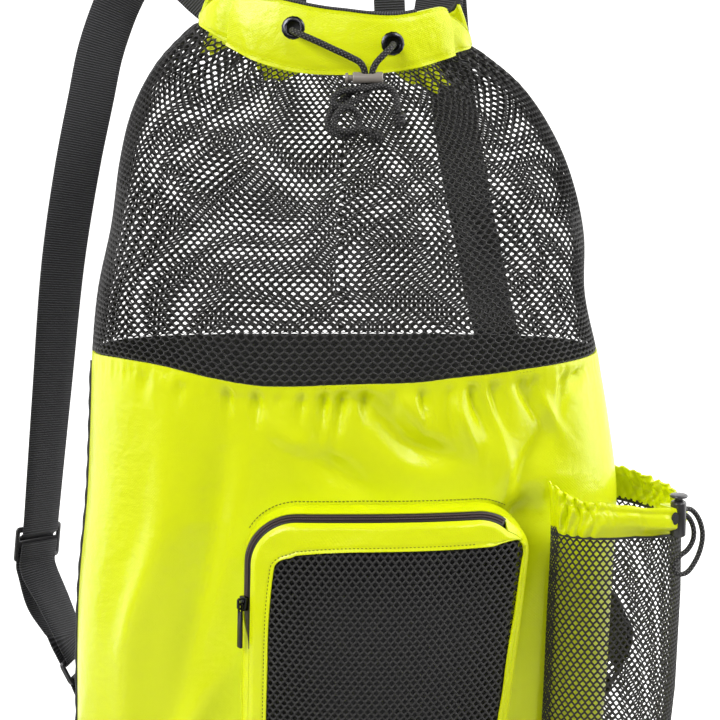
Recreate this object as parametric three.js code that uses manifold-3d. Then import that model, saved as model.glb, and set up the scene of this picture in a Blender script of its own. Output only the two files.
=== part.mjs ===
// A mesh drawstring backpack in millimetres: +Z is up, the front faces -Y, +X is to the right from the front.
// The origin is the middle of the base's underside, where the bag stands.
import * as THREE from "three";
import { mergeVertices } from "three/addons/utils/BufferGeometryUtils.js";
import Module from "manifold-3d";

const wasm = await Module();
wasm.setup();

// Driving sizes
const GAP = 0.3; // clearance between pieces that touch
const CLOTH = 1.6; // wall of cloth and of net
const HEM_HEIGHT = 382; // top of the coloured cloth, where the net starts
const MOUTH_SEAM = 606; // height of the collar's seam at the front
const FRONT_ROUNDNESS = 2.4; // superellipse power of the front half of a plan section
const BACK_ROUNDNESS = 3.6; // the back is flatter
const SIDE_SEAM = degrees(7); // how far behind the widest point the right side seam runs
const LEFT_SEAM = degrees(7); // how far in front of the widest point the left one runs
const MOUTH_RISE = { left: 39, right: 20, back: 8 }; // how far the mouth's corners stand above its front
const FRONT_COLUMNS = 31;
const BACK_COLUMNS = 13;

const WEBBING = { wide: 38, thick: 1.6 };
const HANDLE_WEBBING = { wide: 25, thick: 1.6 };
const DRAWCORD = 5;
const POCKET_CORD = 4;

// Plan sections of the bag from the base up. lift is the share of the mouth's rise that a section takes.
const SECTIONS = [
  { z: 0, left: 204, right: 202, front: 94, back: 76, lift: 0 },
  { z: 30, left: 218, right: 214, front: 107, back: 82, lift: 0 },
  { z: 100, left: 219, right: 220, front: 115, back: 84, lift: 0 },
  { z: 190, left: 215, right: 223, front: 120, back: 84, lift: 0 },
  { z: 270, left: 206, right: 225, front: 122, back: 84, lift: 0 },
  { z: 330, left: 202, right: 217, front: 121, back: 83, lift: 0 },
  { z: HEM_HEIGHT, left: 199, right: 207, front: 119, back: 82, lift: 0 },
  { z: 427, left: 193, right: 196, front: 116, back: 80, lift: 0.2 },
  { z: 472, left: 181, right: 194, front: 110, back: 77, lift: 0.4 },
  { z: 516, left: 173, right: 182, front: 101, back: 72, lift: 0.6 },
  { z: 550, left: 162, right: 165, front: 90, back: 66, lift: 0.75 },
  { z: 579, left: 143, right: 142, front: 76, back: 58, lift: 0.88 },
  { z: MOUTH_SEAM, left: 111, right: 104, front: 58, back: 46, lift: 1 },
];

// The collar's sections from its seam to its rim.
const COLLAR_SECTIONS = [
  { z: MOUTH_SEAM, left: 111, right: 104, front: 58, back: 46, lift: 1 },
  { z: 632, left: 107, right: 101, front: 57, back: 45, lift: 0.7 },
  { z: 656, left: 100, right: 96, front: 53, back: 42, lift: 0.4 },
];
const COLLAR_TILT = 0.04; // how much the rim falls for each mm to the right

// Creases pressed into the walls. Each runs from a low point to a high one, with its plan angle at both.
const CREASES = [
  { low: 520, high: 690, lowAngle: 229, highAngle: 223, width: 8, depth: 9 }, // left fold below the collar
  { low: 535, high: 690, lowAngle: 318, highAngle: 325, width: 7, depth: 8 }, // right fold below the collar
  { low: 380, high: 560, lowAngle: 232, highAngle: 240, width: 9, depth: 5 }, // long fold down the net's left
  { low: 415, high: 535, lowAngle: 336, highAngle: 313, width: 8, depth: 6 }, // slanting fold, right
  { low: 500, high: 600, lowAngle: 252, highAngle: 236, width: 8, depth: 4 }, // drape from the left fold
  { low: 270, high: 380, lowAngle: 243, highAngle: 238, width: 7, depth: 3.5 }, // left of the pocket
  { low: 300, high: 384, lowAngle: 318, highAngle: 311, width: 7, depth: 3.5 }, // above the bottle pocket
];

// Gathers where the net is sewn to the collar.
const GATHERS = { count: 22, depth: 1.6, reach: 55 };

const FINISHES = {
  bright_cloth: { color: 0xdceb12, roughness: 0.55, metalness: 0 },
  dark_net: { color: 0x33312f, roughness: 0.8, metalness: 0 },
  dark_cloth: { color: 0x26262a, roughness: 0.85, metalness: 0 },
  webbing: { color: 0x2a2a2d, roughness: 0.75, metalness: 0 },
  cord: { color: 0x1c1c1e, roughness: 0.8, metalness: 0 },
  dark_plastic: { color: 0x3a3b3e, roughness: 0.4, metalness: 0 },
  dark_metal: { color: 0x34343a, roughness: 0.3, metalness: 1 },
  zip_tape: { color: 0x1b1712, roughness: 0.7, metalness: 0 },
};

const bag = new THREE.Group();

// Small tools

function degrees(angle) {
  return (angle * Math.PI) / 180;
}

function mix(a, b, share) {
  return a + (b - a) * share;
}

function ease(low, high, value) {
  const t = Math.min(1, Math.max(0, (value - low) / (high - low)));
  return t * t * (3 - 2 * t);
}

function signedPower(value, power) {
  return Math.sign(value) * Math.abs(value) ** power;
}

function addPiece(name, geometry, finish, parent = bag) {
  const mesh = new THREE.Mesh(facingOut(geometry), new THREE.MeshStandardMaterial(FINISHES[finish]));
  mesh.name = name;
  parent.add(mesh);
  return mesh;
}

// Turns a closed mesh's triangles round if they face inwards.
function facingOut(geometry) {
  const whole = geometry.index ? geometry : mergeVertices(barePositions(geometry), 1e-3);
  const points = whole.attributes.position;
  const corners = whole.index.array;
  const [a, b, c] = [new THREE.Vector3(), new THREE.Vector3(), new THREE.Vector3()];
  let volume = 0;
  for (let i = 0; i < corners.length; i += 3) {
    a.fromBufferAttribute(points, corners[i]);
    b.fromBufferAttribute(points, corners[i + 1]);
    c.fromBufferAttribute(points, corners[i + 2]);
    volume += a.dot(b.cross(c));
  }
  if (volume < 0) {
    for (let i = 0; i < corners.length; i += 3) {
      [corners[i + 1], corners[i + 2]] = [corners[i + 2], corners[i + 1]];
    }
  }
  whole.computeVertexNormals();
  return whole;
}

function barePositions(geometry) {
  return new THREE.BufferGeometry().setAttribute("position", geometry.getAttribute("position"));
}

function toSolid(geometry) {
  const flat = geometry.index ? geometry.toNonIndexed() : geometry;
  const merged = mergeVertices(barePositions(flat), 1e-3);
  const closed = facingOut(merged);
  return new wasm.Manifold(
    new wasm.Mesh({
      numProp: 3,
      vertProperties: new Float32Array(closed.attributes.position.array),
      triVerts: new Uint32Array(closed.index.array),
    }),
  );
}

function fromSolid(solid) {
  const mesh = solid.getMesh();
  return new THREE.BufferGeometry()
    .setAttribute("position", new THREE.BufferAttribute(mesh.vertProperties, 3))
    .setIndex(new THREE.BufferAttribute(mesh.triVerts, 1));
}

// A closed wall between an outer and an inner surface, each a function of a column and a row from 0 to 1.
function wallGeometry(outer, inner, columns, rows, ring = false) {
  const across = ring ? columns : columns + 1;
  const points = [];
  for (const surface of [outer, inner]) {
    for (let r = 0; r <= rows; r++) {
      for (let c = 0; c < across; c++) points.push(...surface(c / columns, r / rows));
    }
  }
  const at = (side, c, r) => (side * (rows + 1) + r) * across + (ring ? c % columns : c);
  const corners = [];
  const quad = (a, b, c, d) => corners.push(a, b, c, a, c, d);
  for (let c = 0; c < columns; c++) {
    for (let r = 0; r < rows; r++) {
      quad(at(0, c, r), at(0, c + 1, r), at(0, c + 1, r + 1), at(0, c, r + 1));
      quad(at(1, c, r), at(1, c, r + 1), at(1, c + 1, r + 1), at(1, c + 1, r));
    }
    quad(at(0, c + 1, 0), at(0, c, 0), at(1, c, 0), at(1, c + 1, 0));
    quad(at(0, c, rows), at(0, c + 1, rows), at(1, c + 1, rows), at(1, c, rows));
  }
  for (let r = 0; r < rows && !ring; r++) {
    quad(at(0, 0, r), at(0, 0, r + 1), at(1, 0, r + 1), at(1, 0, r));
    quad(at(0, columns, r + 1), at(0, columns, r), at(1, columns, r), at(1, columns, r + 1));
  }
  return new THREE.BufferGeometry()
    .setAttribute("position", new THREE.Float32BufferAttribute(points, 3))
    .setIndex(corners);
}

function tubeGeometry(points, diameter, steps, sides) {
  const section = new THREE.Shape();
  for (let i = 0; i < sides; i++) {
    const angle = (i / sides) * 2 * Math.PI;
    const corner = [(Math.cos(angle) * diameter) / 2, (Math.sin(angle) * diameter) / 2];
    if (i === 0) section.moveTo(...corner);
    else section.lineTo(...corner);
  }
  const path = new THREE.CatmullRomCurve3(points, false, "centripetal");
  return new THREE.ExtrudeGeometry(section, { steps, extrudePath: path, bevelEnabled: false });
}

// A flat strip along stations, each a point and the way that its face looks.
function ribbonGeometry(stations, { wide, thick }) {
  const last = stations.length - 1;
  const frames = stations.map((station, i) => {
    const before = stations[Math.max(0, i - 1)].point;
    const after = stations[Math.min(last, i + 1)].point;
    const along = after.clone().sub(before).normalize();
    const across = along.clone().cross(station.face).normalize();
    return { point: station.point, across, face: across.clone().cross(along).normalize() };
  });
  const surface = (side) => (column, row) => {
    const { point, across, face } = frames[Math.round(row * last)];
    return point
      .clone()
      .addScaledVector(across, (column - 0.5) * wide)
      .addScaledVector(face, (side * thick) / 2)
      .toArray();
  };
  return wallGeometry(surface(1), surface(-1), 1, last);
}

// Stations every spacing mm along a smooth curve through the rows of a strap's table.
function smoothStations(rows, spacing) {
  const path = new THREE.CatmullRomCurve3(rows.map((row) => row.point), false, "centripetal");
  const faces = new THREE.CatmullRomCurve3(rows.map((row) => row.face), false, "catmullrom", 0.5);
  const count = Math.ceil(path.getLength() / spacing);
  const stations = [];
  for (let i = 0; i <= count; i++) {
    const t = path.getUtoTmapping(i / count);
    stations.push({ point: path.getPoint(t), face: faces.getPoint(t).normalize() });
  }
  return stations;
}

// A row of a strap's table: up turns the face from the front (0) over the top (90) to the back (180),
// and side turns it about the vertical.
function strapRow({ x, y, z, up, side }) {
  const face = new THREE.Vector3(0, -Math.cos(degrees(up)), Math.sin(degrees(up)));
  face.applyAxisAngle(new THREE.Vector3(0, 0, 1), degrees(side));
  return { point: new THREE.Vector3(x, y, z), face };
}

// The bag's form

function sectionAt(table, z) {
  const last = table.length - 1;
  let i = 0;
  while (i < last - 1 && z > table[i + 1].z) i++;
  const [low, high] = [table[i], table[i + 1]];
  const span = high.z - low.z;
  const t = (z - low.z) / span;
  const section = {};
  for (const key of ["left", "right", "front", "back", "lift"]) {
    const slope = (j) => {
      const [before, after] = [table[Math.max(0, j - 1)], table[Math.min(last, j + 1)]];
      return (after[key] - before[key]) / (after.z - before.z);
    };
    const [rise, run] = [t * t * (3 - 2 * t), t * (1 - t)];
    section[key] =
      mix(low[key], high[key], rise) + span * run * ((1 - t) * slope(i) - t * slope(i + 1));
  }
  return section;
}

function planPoint(section, angle, inset) {
  const [c, s] = [Math.cos(angle), Math.sin(angle)];
  const power = 2 / (s < 0 ? FRONT_ROUNDNESS : BACK_ROUNDNESS);
  const wide = (c < 0 ? section.left : section.right) - inset;
  const deep = (s < 0 ? section.front : section.back) - inset;
  return [wide * signedPower(c, power), deep * signedPower(s, power)];
}

function mouthRise(angle) {
  const [c, s] = [Math.cos(angle), Math.sin(angle)];
  const corner = (c < 0 ? MOUTH_RISE.left : MOUTH_RISE.right) * c * c;
  return corner + (s > 0 ? MOUTH_RISE.back * s * s : 0);
}

// How far the cloth lies inside its plain form at a height and plan angle.
function creaseDepth(z, angle) {
  const turned = ((angle / Math.PI) * 180 + 720) % 360;
  let depth = 0;
  for (const crease of CREASES) {
    if (z <= crease.low || z >= crease.high) continue;
    const share = (z - crease.low) / (crease.high - crease.low);
    const off = (turned - mix(crease.lowAngle, crease.highAngle, share)) / crease.width;
    depth += crease.depth * Math.exp(-off * off) * Math.sin(Math.PI * share) ** 0.7;
  }
  const near = ease(MOUTH_SEAM - GATHERS.reach, MOUTH_SEAM, z) * (z <= MOUTH_SEAM ? 1 : 0);
  return depth + GATHERS.depth * near * (1 + Math.cos(GATHERS.count * angle)) * (1 - near);
}

function bagPoint(z, angle, inset) {
  const section = sectionAt(SECTIONS, z);
  const [x, y] = planPoint(section, angle, inset + creaseDepth(z, angle));
  return [x, y, z + section.lift * mouthRise(angle)];
}

function collarPoint(z, angle, inset) {
  const section = sectionAt(COLLAR_SECTIONS, z);
  const [x, y] = planPoint(section, angle, inset + creaseDepth(z, angle));
  const tilt = COLLAR_TILT * x * ease(MOUTH_SEAM, COLLAR_SECTIONS.at(-1).z, z);
  return [x, y, z + section.lift * mouthRise(angle) - tilt];
}

// The bag's front surface, for what is sewn on it below the hem.
function bagFront(x, z) {
  const section = sectionAt(SECTIONS, z);
  const wide = x < 0 ? section.left : section.right;
  const share = 1 - Math.abs(x / wide) ** FRONT_ROUNDNESS;
  return -section.front * share ** (1 / FRONT_ROUNDNESS);
}

function panelGeometry(low, high, fromAngle, toAngle, columns, rows) {
  const surface = (inset) => (column, row) =>
    bagPoint(mix(low, high, row), mix(fromAngle, toAngle, column), inset);
  return wallGeometry(surface(0), surface(CLOTH), columns, rows);
}

// Walls of the bag: the coloured front, the dark back, the piping between them and the net above
const SEAM_LEFT = Math.PI + LEFT_SEAM;
const SEAM_RIGHT = 2 * Math.PI + SIDE_SEAM;
const PIPING = { diameter: 3, room: degrees(1.1), rows: 9 };
const NET_ROOM = degrees(0.12);
const NET_LOW = HEM_HEIGHT + GAP;

addPiece(
  "lower_front",
  panelGeometry(0, HEM_HEIGHT, SEAM_LEFT + PIPING.room, SEAM_RIGHT - PIPING.room, FRONT_COLUMNS, 7),
  "bright_cloth",
);
addPiece(
  "back_panel",
  panelGeometry(0, HEM_HEIGHT, SIDE_SEAM + PIPING.room, SEAM_LEFT - PIPING.room, BACK_COLUMNS, 6),
  "dark_cloth",
);
addPiece(
  "mesh_front",
  panelGeometry(NET_LOW, MOUTH_SEAM, SEAM_LEFT + NET_ROOM, SEAM_RIGHT - NET_ROOM, FRONT_COLUMNS, 8),
  "dark_net",
);
addPiece(
  "mesh_back",
  panelGeometry(NET_LOW, MOUTH_SEAM, SIDE_SEAM + NET_ROOM, SEAM_LEFT - NET_ROOM, BACK_COLUMNS, 7),
  "dark_net",
);

for (const [side, angle] of [["left", SEAM_LEFT], ["right", SIDE_SEAM]]) {
  const points = [];
  for (let row = 0; row <= PIPING.rows; row++) {
    const z = mix(PIPING.diameter, HEM_HEIGHT - PIPING.diameter, row / PIPING.rows);
    points.push(new THREE.Vector3(...bagPoint(z, angle, CLOTH / 2)));
  }
  addPiece("side_piping_" + side, tubeGeometry(points, PIPING.diameter, PIPING.rows, 8), "dark_cloth");
}

// The flat base fits inside the walls' lower edge.
const BASE_THICK = 2;
const BASE_SIDES = 48;
const baseOutline = [];
for (let i = 0; i < BASE_SIDES; i++) {
  const inset = CLOTH + 4 * GAP;
  baseOutline.push(new THREE.Vector2(...planPoint(SECTIONS[0], (i / BASE_SIDES) * 2 * Math.PI, inset)));
}
addPiece(
  "base_panel",
  new THREE.ExtrudeGeometry(new THREE.Shape(baseOutline), { depth: BASE_THICK, bevelEnabled: false }),
  "dark_cloth",
);

// Collar, its eyelets and the bound edge at the back of the mouth
const COLLAR_CLOTH = 2.2;
const COLLAR_TOP = COLLAR_SECTIONS.at(-1).z;
const EYELET = { outer: 9, hole: 5, thick: 4.2, room: 0.4 };
const EYELETS = [
  { name: "eyelet_left", angle: 254.6, z: 639 },
  { name: "eyelet_right", angle: 289.8, z: 629 },
];

function ringAngle(column) {
  const step = column * (FRONT_COLUMNS + BACK_COLUMNS);
  if (step <= FRONT_COLUMNS) return mix(SEAM_LEFT, SEAM_RIGHT, step / FRONT_COLUMNS);
  return mix(SEAM_RIGHT, SEAM_LEFT + 2 * Math.PI, (step - FRONT_COLUMNS) / BACK_COLUMNS);
}

function eyeletGeometry() {
  const { outer, hole, thick } = EYELET;
  const half = thick / 2;
  const profile = [
    [hole, -half + 0.8],
    [hole + 0.8, -half],
    [outer - 1, -half],
    [outer, -half + 0.8],
    [outer, half - 0.8],
    [outer - 1.4, half],
    [hole + 1, half],
    [hole, half - 0.9],
    [hole, -half + 0.8],
  ];
  return new THREE.LatheGeometry(profile.map(([r, y]) => new THREE.Vector2(r, y)), 14);
}

// Point on the collar's middle and the way that it faces there.
function collarSpot(z, angle) {
  const point = new THREE.Vector3(...collarPoint(z, angle, COLLAR_CLOTH / 2));
  const beside = new THREE.Vector3(...collarPoint(z, angle + 0.02, COLLAR_CLOTH / 2));
  const above = new THREE.Vector3(...collarPoint(z + 2, angle, COLLAR_CLOTH / 2));
  const face = beside.sub(point).cross(above.sub(point)).normalize();
  return { point, face };
}

// The rim falls to a point at both ends of the mouth: front and back are how far off it starts to fall.
const COLLAR_CORNER = { high: 8, front: degrees(40), back: degrees(14) };

function collarTop(angle) {
  const side = Math.sin(angle);
  const reach = side < 0 ? COLLAR_CORNER.front : COLLAR_CORNER.back;
  return mix(MOUTH_SEAM + COLLAR_CORNER.high, COLLAR_TOP, ease(0, reach, Math.asin(Math.abs(side))));
}

const collarSurface = (inset) => (column, row) => {
  const angle = ringAngle(column);
  return collarPoint(mix(MOUTH_SEAM + 2 * GAP, collarTop(angle), row), angle, inset);
};
let collarSolid = toSolid(
  wallGeometry(collarSurface(0), collarSurface(COLLAR_CLOTH), FRONT_COLUMNS + BACK_COLUMNS, 3, true),
);
const axis = new THREE.Vector3(0, 1, 0);
for (const eyelet of EYELETS) {
  const { point, face } = collarSpot(eyelet.z, degrees(eyelet.angle));
  const cutter = new THREE.CylinderGeometry(EYELET.outer + EYELET.room, EYELET.outer + EYELET.room, 16, 14);
  const place = new THREE.Matrix4().compose(
    point,
    new THREE.Quaternion().setFromUnitVectors(axis, face),
    new THREE.Vector3(1, 1, 1),
  );
  collarSolid = collarSolid.subtract(toSolid(cutter.applyMatrix4(place)));
  addPiece(eyelet.name, eyeletGeometry().applyMatrix4(place), "dark_metal");
}
addPiece("collar", fromSolid(collarSolid), "bright_cloth");

const BINDING = { diameter: 4.4, from: degrees(14), to: degrees(166), steps: 18 };
const bindingPoints = [];
for (let i = 0; i <= BINDING.steps; i++) {
  const angle = mix(BINDING.from, BINDING.to, i / BINDING.steps);
  const [x, y, z] = collarPoint(COLLAR_TOP, angle, COLLAR_CLOTH / 2);
  bindingPoints.push(new THREE.Vector3(x, y, z + BINDING.diameter / 2 + GAP));
}
addPiece("mouth_binding", tubeGeometry(bindingPoints, BINDING.diameter, BINDING.steps, 8), "dark_cloth");

// Drawcords from the eyelets through the cord lock into a loose bow, and the knots on their ends
const DRAWCORD_LEFT = [
  [-35, -52.5, 640],
  [-34.5, -60, 639.5],
  [-28, -65.5, 637],
  [-16, -69, 632],
  [-4, -71, 626.5],
  [8, -72, 621],
  [16.5, -72, 616],
  [19.4, -72, 610],
  [19.4, -72, 600],
  [10, -77, 594.9],
  [1, -80, 587.6],
  [-5.7, -84, 580.4],
  [-8.3, -87, 573.2],
  [-4.2, -90, 566],
  [4.1, -92, 563.1],
  [12.3, -91, 566.8],
  [15.3, -88.5, 574],
  [13, -89, 580.7],
  [6.7, -93, 584.7],
  [-0.3, -94.5, 580.7],
  [-3, -95.5, 573.8],
  [1.1, -97, 568],
  [8.2, -97.5, 567.2],
  [13, -96.8, 568.6],
  [17.5, -95.4, 568.4],
  [23.7, -92.8, 565.4],
];
const DRAWCORD_RIGHT = [
  [41, -51.8, 629.4],
  [41, -60, 629],
  [38.5, -67, 626.5],
  [33, -71, 621.5],
  [28, -72, 616],
  [25.4, -72, 610],
  [25.4, -72, 600],
  [21.3, -78, 594.2],
  [10.4, -85.5, 588],
  [2, -88.5, 585],
  [-3.6, -88, 587],
  [-4.4, -86, 591.4],
  [0.8, -84, 595],
  [10, -83, 597],
  [19, -81.5, 597.7],
  [26.5, -78.5, 599],
  [34, -76, 599.3],
  [40, -76, 596.3],
  [43.4, -78.5, 590.5],
  [43.7, -82, 584],
  [44.8, -85, 579],
];
const DRAWCORD_STEPS = 24;
const KNOT = { radius: 4.6, half: 4.6, room: 0.4 };

function pointList(route) {
  return route.map((point) => new THREE.Vector3(...point));
}

function knotGeometry() {
  const { radius, half } = KNOT;
  const profile = [
    [0, -half],
    [radius * 0.62, -half],
    [radius, -half * 0.35],
    [radius, half * 0.35],
    [radius * 0.62, half],
    [0, half],
  ];
  return new THREE.LatheGeometry(profile.map(([r, y]) => new THREE.Vector2(r, y)), 10);
}

for (const [side, route] of [["left", DRAWCORD_LEFT], ["right", DRAWCORD_RIGHT]]) {
  const points = pointList(route);
  addPiece("drawcord_" + side, tubeGeometry(points, DRAWCORD, DRAWCORD_STEPS, 8), "cord");
  const along = points.at(-1).clone().sub(points.at(-2)).normalize();
  const knot = addPiece("drawcord_knot_" + side, knotGeometry(), "cord");
  knot.quaternion.setFromUnitVectors(axis, along);
  knot.position.copy(points.at(-1)).addScaledVector(along, KNOT.half + KNOT.room);
}

// A barrel cord lock along +Y of its own frame: a body with a spring bore in its top and a slot
// for two strands, and a button whose stem stands in the bore.
const CORD_LOCK = { radius: 4.6, long: 23, bore: 2.7, boreDeep: 5.9, slot: 11, round: 0.8 };
const CORD_BUTTON = { stem: 2.4, stemDeep: 3, cap: 4, neck: 3.2, capThick: 2.4, round: 0.7 };
const BOTTLE_LOCK = { radius: 6.2, long: 28, bore: 3.6, boreDeep: 5.2, slot: 17.5, round: 1.2 };
const BOTTLE_BUTTON = { stem: 3.2, stemDeep: 2.2, cap: 7, neck: 3, capThick: 2.2, round: 0.8 };

function lockBodyGeometry({ radius, long, bore, boreDeep, slot, round }, strand) {
  const profile = [
    [0, 0],
    [radius - round, 0],
    [radius, round],
    [radius, long - round],
    [radius - round, long],
    [bore, long],
    [bore, long - boreDeep],
    [0, long - boreDeep],
  ];
  const barrel = new THREE.LatheGeometry(profile.map(([r, y]) => new THREE.Vector2(r, y)), 16);
  const half = strand / 2 + 0.5;
  const reach = strand / 2 + 0.5;
  const hole = new THREE.Shape();
  hole.absarc(0, slot + reach, half, 0, Math.PI);
  hole.absarc(0, slot - reach, half, Math.PI, 2 * Math.PI);
  const cutter = new THREE.ExtrudeGeometry(hole, {
    depth: 3 * radius,
    bevelEnabled: false,
    curveSegments: 6,
  });
  cutter.translate(0, 0, -1.5 * radius);
  return fromSolid(toSolid(barrel).subtract(toSolid(cutter)));
}

function lockButtonGeometry({ stem, stemDeep, cap, neck, capThick, round }) {
  const profile = [
    [0, -stemDeep],
    [stem, -stemDeep],
    [stem, neck],
    [cap, neck],
    [cap, neck + capThick - round],
    [cap - round, neck + capThick],
    [0, neck + capThick],
  ];
  return new THREE.LatheGeometry(profile.map(([r, y]) => new THREE.Vector2(r, y)), 14);
}

// middle is the slot's middle, up the barrel's own axis and through the way that the strands pass.
function addLock(name, body, button, strand, { middle, up, through }) {
  const side = up.clone().cross(through).normalize();
  const group = new THREE.Group();
  group.quaternion.setFromRotationMatrix(new THREE.Matrix4().makeBasis(side, up, through));
  group.position.copy(middle).addScaledVector(up, -body.slot);
  addPiece(name + "_body", lockBodyGeometry(body, strand), "dark_plastic", group);
  addPiece(name + "_button", lockButtonGeometry(button), "dark_plastic", group).position.y = body.long;
  bag.add(group);
}

addLock("cord_lock", CORD_LOCK, CORD_BUTTON, DRAWCORD, {
  middle: new THREE.Vector3(22.4, -72, 605),
  up: new THREE.Vector3(-1, 0, 0),
  through: new THREE.Vector3(0, 0, 1),
});

// Zipped front pocket: a gusset from the bag, a zip round its top and sides, and a face with a net window
const POCKET = {
  x: 29.5, // middle of the pocket
  z: 167,
  wide: 205,
  high: 240,
  corner: 38,
  lean: 7, // how far the top stands to the right of the middle
  taper: 0.04,
  deep: 38,
  sink: 13,
  bulge: 18,
};
const POCKET_SEGMENTS = { bottom: 2, corner: 5, side: 4, top: 4 }; // bottom is half of the bottom edge
// first is the zip's first column, spare the number of columns after its last.
const ZIP = { step: 5, drop: 5.5, thick: 1.8, first: 14, spare: 9 };
const FRAME = { left: 14, right: 3.5, top: 20, bottom: 13, edge: 4 };

const pocketPath = new THREE.Path();
{
  const [w, h, r] = [POCKET.wide / 2, POCKET.high / 2, POCKET.corner];
  pocketPath.moveTo(0, -h);
  pocketPath.lineTo(w - r, -h);
  pocketPath.absarc(w - r, r - h, r, -Math.PI / 2, 0);
  pocketPath.lineTo(w, h - r);
  pocketPath.absarc(w - r, h - r, r, 0, Math.PI / 2);
  pocketPath.lineTo(r - w, h);
  pocketPath.absarc(r - w, h - r, r, Math.PI / 2, Math.PI);
  pocketPath.lineTo(-w, r - h);
  pocketPath.absarc(r - w, r - h, r, Math.PI, 1.5 * Math.PI);
  pocketPath.lineTo(0, -h);
}

// Shares of the outline's length at the pocket's columns, with most of them in the corners.
const POCKET_SHARES = [0];
{
  const { bottom, corner, side, top } = POCKET_SEGMENTS;
  const whole = pocketPath.getLength();
  let start = 0;
  const counts = [bottom, corner, side, corner, top, corner, side, corner, bottom];
  pocketPath.getCurveLengths().forEach((end, i) => {
    for (let k = 1; k <= counts[i]; k++) POCKET_SHARES.push(mix(start, end, k / counts[i]) / whole);
    start = end;
  });
}
const POCKET_COLUMNS = POCKET_SHARES.length - 1;

// A point of the pocket from its place in the flat outline. depth is in front of the bag: the pocket is
// shallower towards its top.
function pocketSurface(flatX, flatZ, depth, domeShare) {
  const [u, v] = [flatX / (POCKET.wide / 2), flatZ / (POCKET.high / 2)];
  const x = POCKET.x + flatX * (1 + POCKET.taper * v) + POCKET.lean * v;
  const z = POCKET.z + flatZ;
  const dome = POCKET.bulge * (1 - u * u) * (1 - v * v) * domeShare;
  const sink = POCKET.sink * (0.5 + 0.5 * v) * Math.min(1, depth / POCKET.deep);
  return [x, bagFront(x, z) - depth - dome + sink, z];
}

// The outline's point at a share of its length, from the middle of the bottom edge round to the right.
function outlinePoint(share, inset) {
  const edge = pocketPath.getPointAt(share);
  const along = pocketPath.getTangentAt(share);
  return [edge.x - along.y * inset, edge.y + along.x * inset];
}

function pocketPoint(share, inset, depth) {
  return pocketSurface(...outlinePoint(share, inset), depth, ease(0, ZIP.step, inset));
}

function pocketShare(column) {
  return POCKET_SHARES[Math.round(column * POCKET_COLUMNS)];
}

// On the right and along the bottom, where there is no zip, the gusset itself slopes in to the face.
const gussetSurface = (thick) => (column, row) => {
  const step = Math.round(column * POCKET_COLUMNS);
  const plain = step < ZIP.first || step > POCKET_COLUMNS - ZIP.spare;
  const slope = plain && row === 1 ? 1 : 0;
  const depth = mix(2 * GAP, POCKET.deep, row) + (ZIP.drop - thick) * slope;
  return pocketPoint(pocketShare(column), mix(thick, ZIP.step, slope), depth);
};
addPiece(
  "pocket_gusset",
  wallGeometry(gussetSurface(0), gussetSurface(CLOTH), POCKET_COLUMNS, 2, true),
  "bright_cloth",
);

// The zip lies on the slope between the gusset and the face.
const ZIP_COLUMNS = POCKET_COLUMNS - ZIP.first - ZIP.spare;
const zipSurface = (thick) => (column, row) => {
  const share = POCKET_SHARES[ZIP.first + Math.round(column * ZIP_COLUMNS)];
  const inset = mix(thick, ZIP.step, row);
  return pocketPoint(share, inset, POCKET.deep + GAP + (ZIP.drop - thick) * row);
};
addPiece("pocket_zip", wallGeometry(zipSurface(0), zipSurface(ZIP.thick), ZIP_COLUMNS, 1), "zip_tape");

// The frame is widest along the top and narrowest on the right.
function windowInset(share) {
  const along = pocketPath.getTangentAt(share);
  const level = along.x > 0 ? FRAME.bottom : FRAME.top;
  const upright = along.y > 0 ? FRAME.right : FRAME.left;
  return ZIP.step + level * along.x ** 2 + upright * along.y ** 2;
}

const FACE_RISE = 3;
const faceSurface = (thick) => (column, row) => {
  const start = ZIP.step + GAP;
  const share = pocketShare(column);
  const end = windowInset(share);
  const inset = row === 1 ? end : start + Math.min(FRAME.edge, (end - start) / 2) * 2 * row;
  const depth = POCKET.deep + ZIP.drop + GAP + FACE_RISE * ease(start - 1, start + FRAME.edge, inset);
  return pocketPoint(share, inset, depth - thick);
};
addPiece(
  "pocket_face",
  wallGeometry(faceSurface(0), faceSurface(CLOTH), POCKET_COLUMNS, 2, true),
  "bright_cloth",
);

// The window's net fills the frame, from its edge to a small ring about its middle and a cap over that.
const WINDOW_DEPTH = POCKET.deep + ZIP.drop + GAP + FACE_RISE;
function windowGeometry() {
  const columns = POCKET_COLUMNS;
  const point = (share, row, thick) => {
    const [x, z] = outlinePoint(share, windowInset(share) + GAP);
    return pocketSurface(mix(x, 0, row), mix(z, 0, row), WINDOW_DEPTH - thick, 1);
  };
  const rings = [0, 0.35, 0.7];
  const points = [];
  for (const thick of [0, CLOTH]) {
    for (const row of rings) {
      for (let c = 0; c < columns; c++) points.push(...point(pocketShare(c / columns), row, thick));
    }
    points.push(...point(0, 1, thick));
  }
  const side = rings.length * columns + 1;
  const at = (face, ring, c) => face * side + ring * columns + (c % columns);
  const corners = [];
  for (let c = 0; c < columns; c++) {
    for (let ring = 0; ring + 1 < rings.length; ring++) {
      const [a, b, d, e] = [at(0, ring, c), at(0, ring, c + 1), at(0, ring + 1, c + 1), at(0, ring + 1, c)];
      corners.push(a, b, d, a, d, e);
      const [f, g, h, k] = [at(1, ring, c), at(1, ring, c + 1), at(1, ring + 1, c + 1), at(1, ring + 1, c)];
      corners.push(f, h, g, f, k, h);
    }
    const inner = rings.length - 1;
    corners.push(at(0, inner, c), at(0, inner, c + 1), side - 1);
    corners.push(at(1, inner, c + 1), at(1, inner, c), 2 * side - 1);
    corners.push(at(0, 0, c + 1), at(0, 0, c), at(1, 0, c), at(0, 0, c + 1), at(1, 0, c), at(1, 0, c + 1));
  }
  return new THREE.BufferGeometry()
    .setAttribute("position", new THREE.Float32BufferAttribute(points, 3))
    .setIndex(corners);
}
addPiece("pocket_mesh", windowGeometry(), "dark_net");

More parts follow.
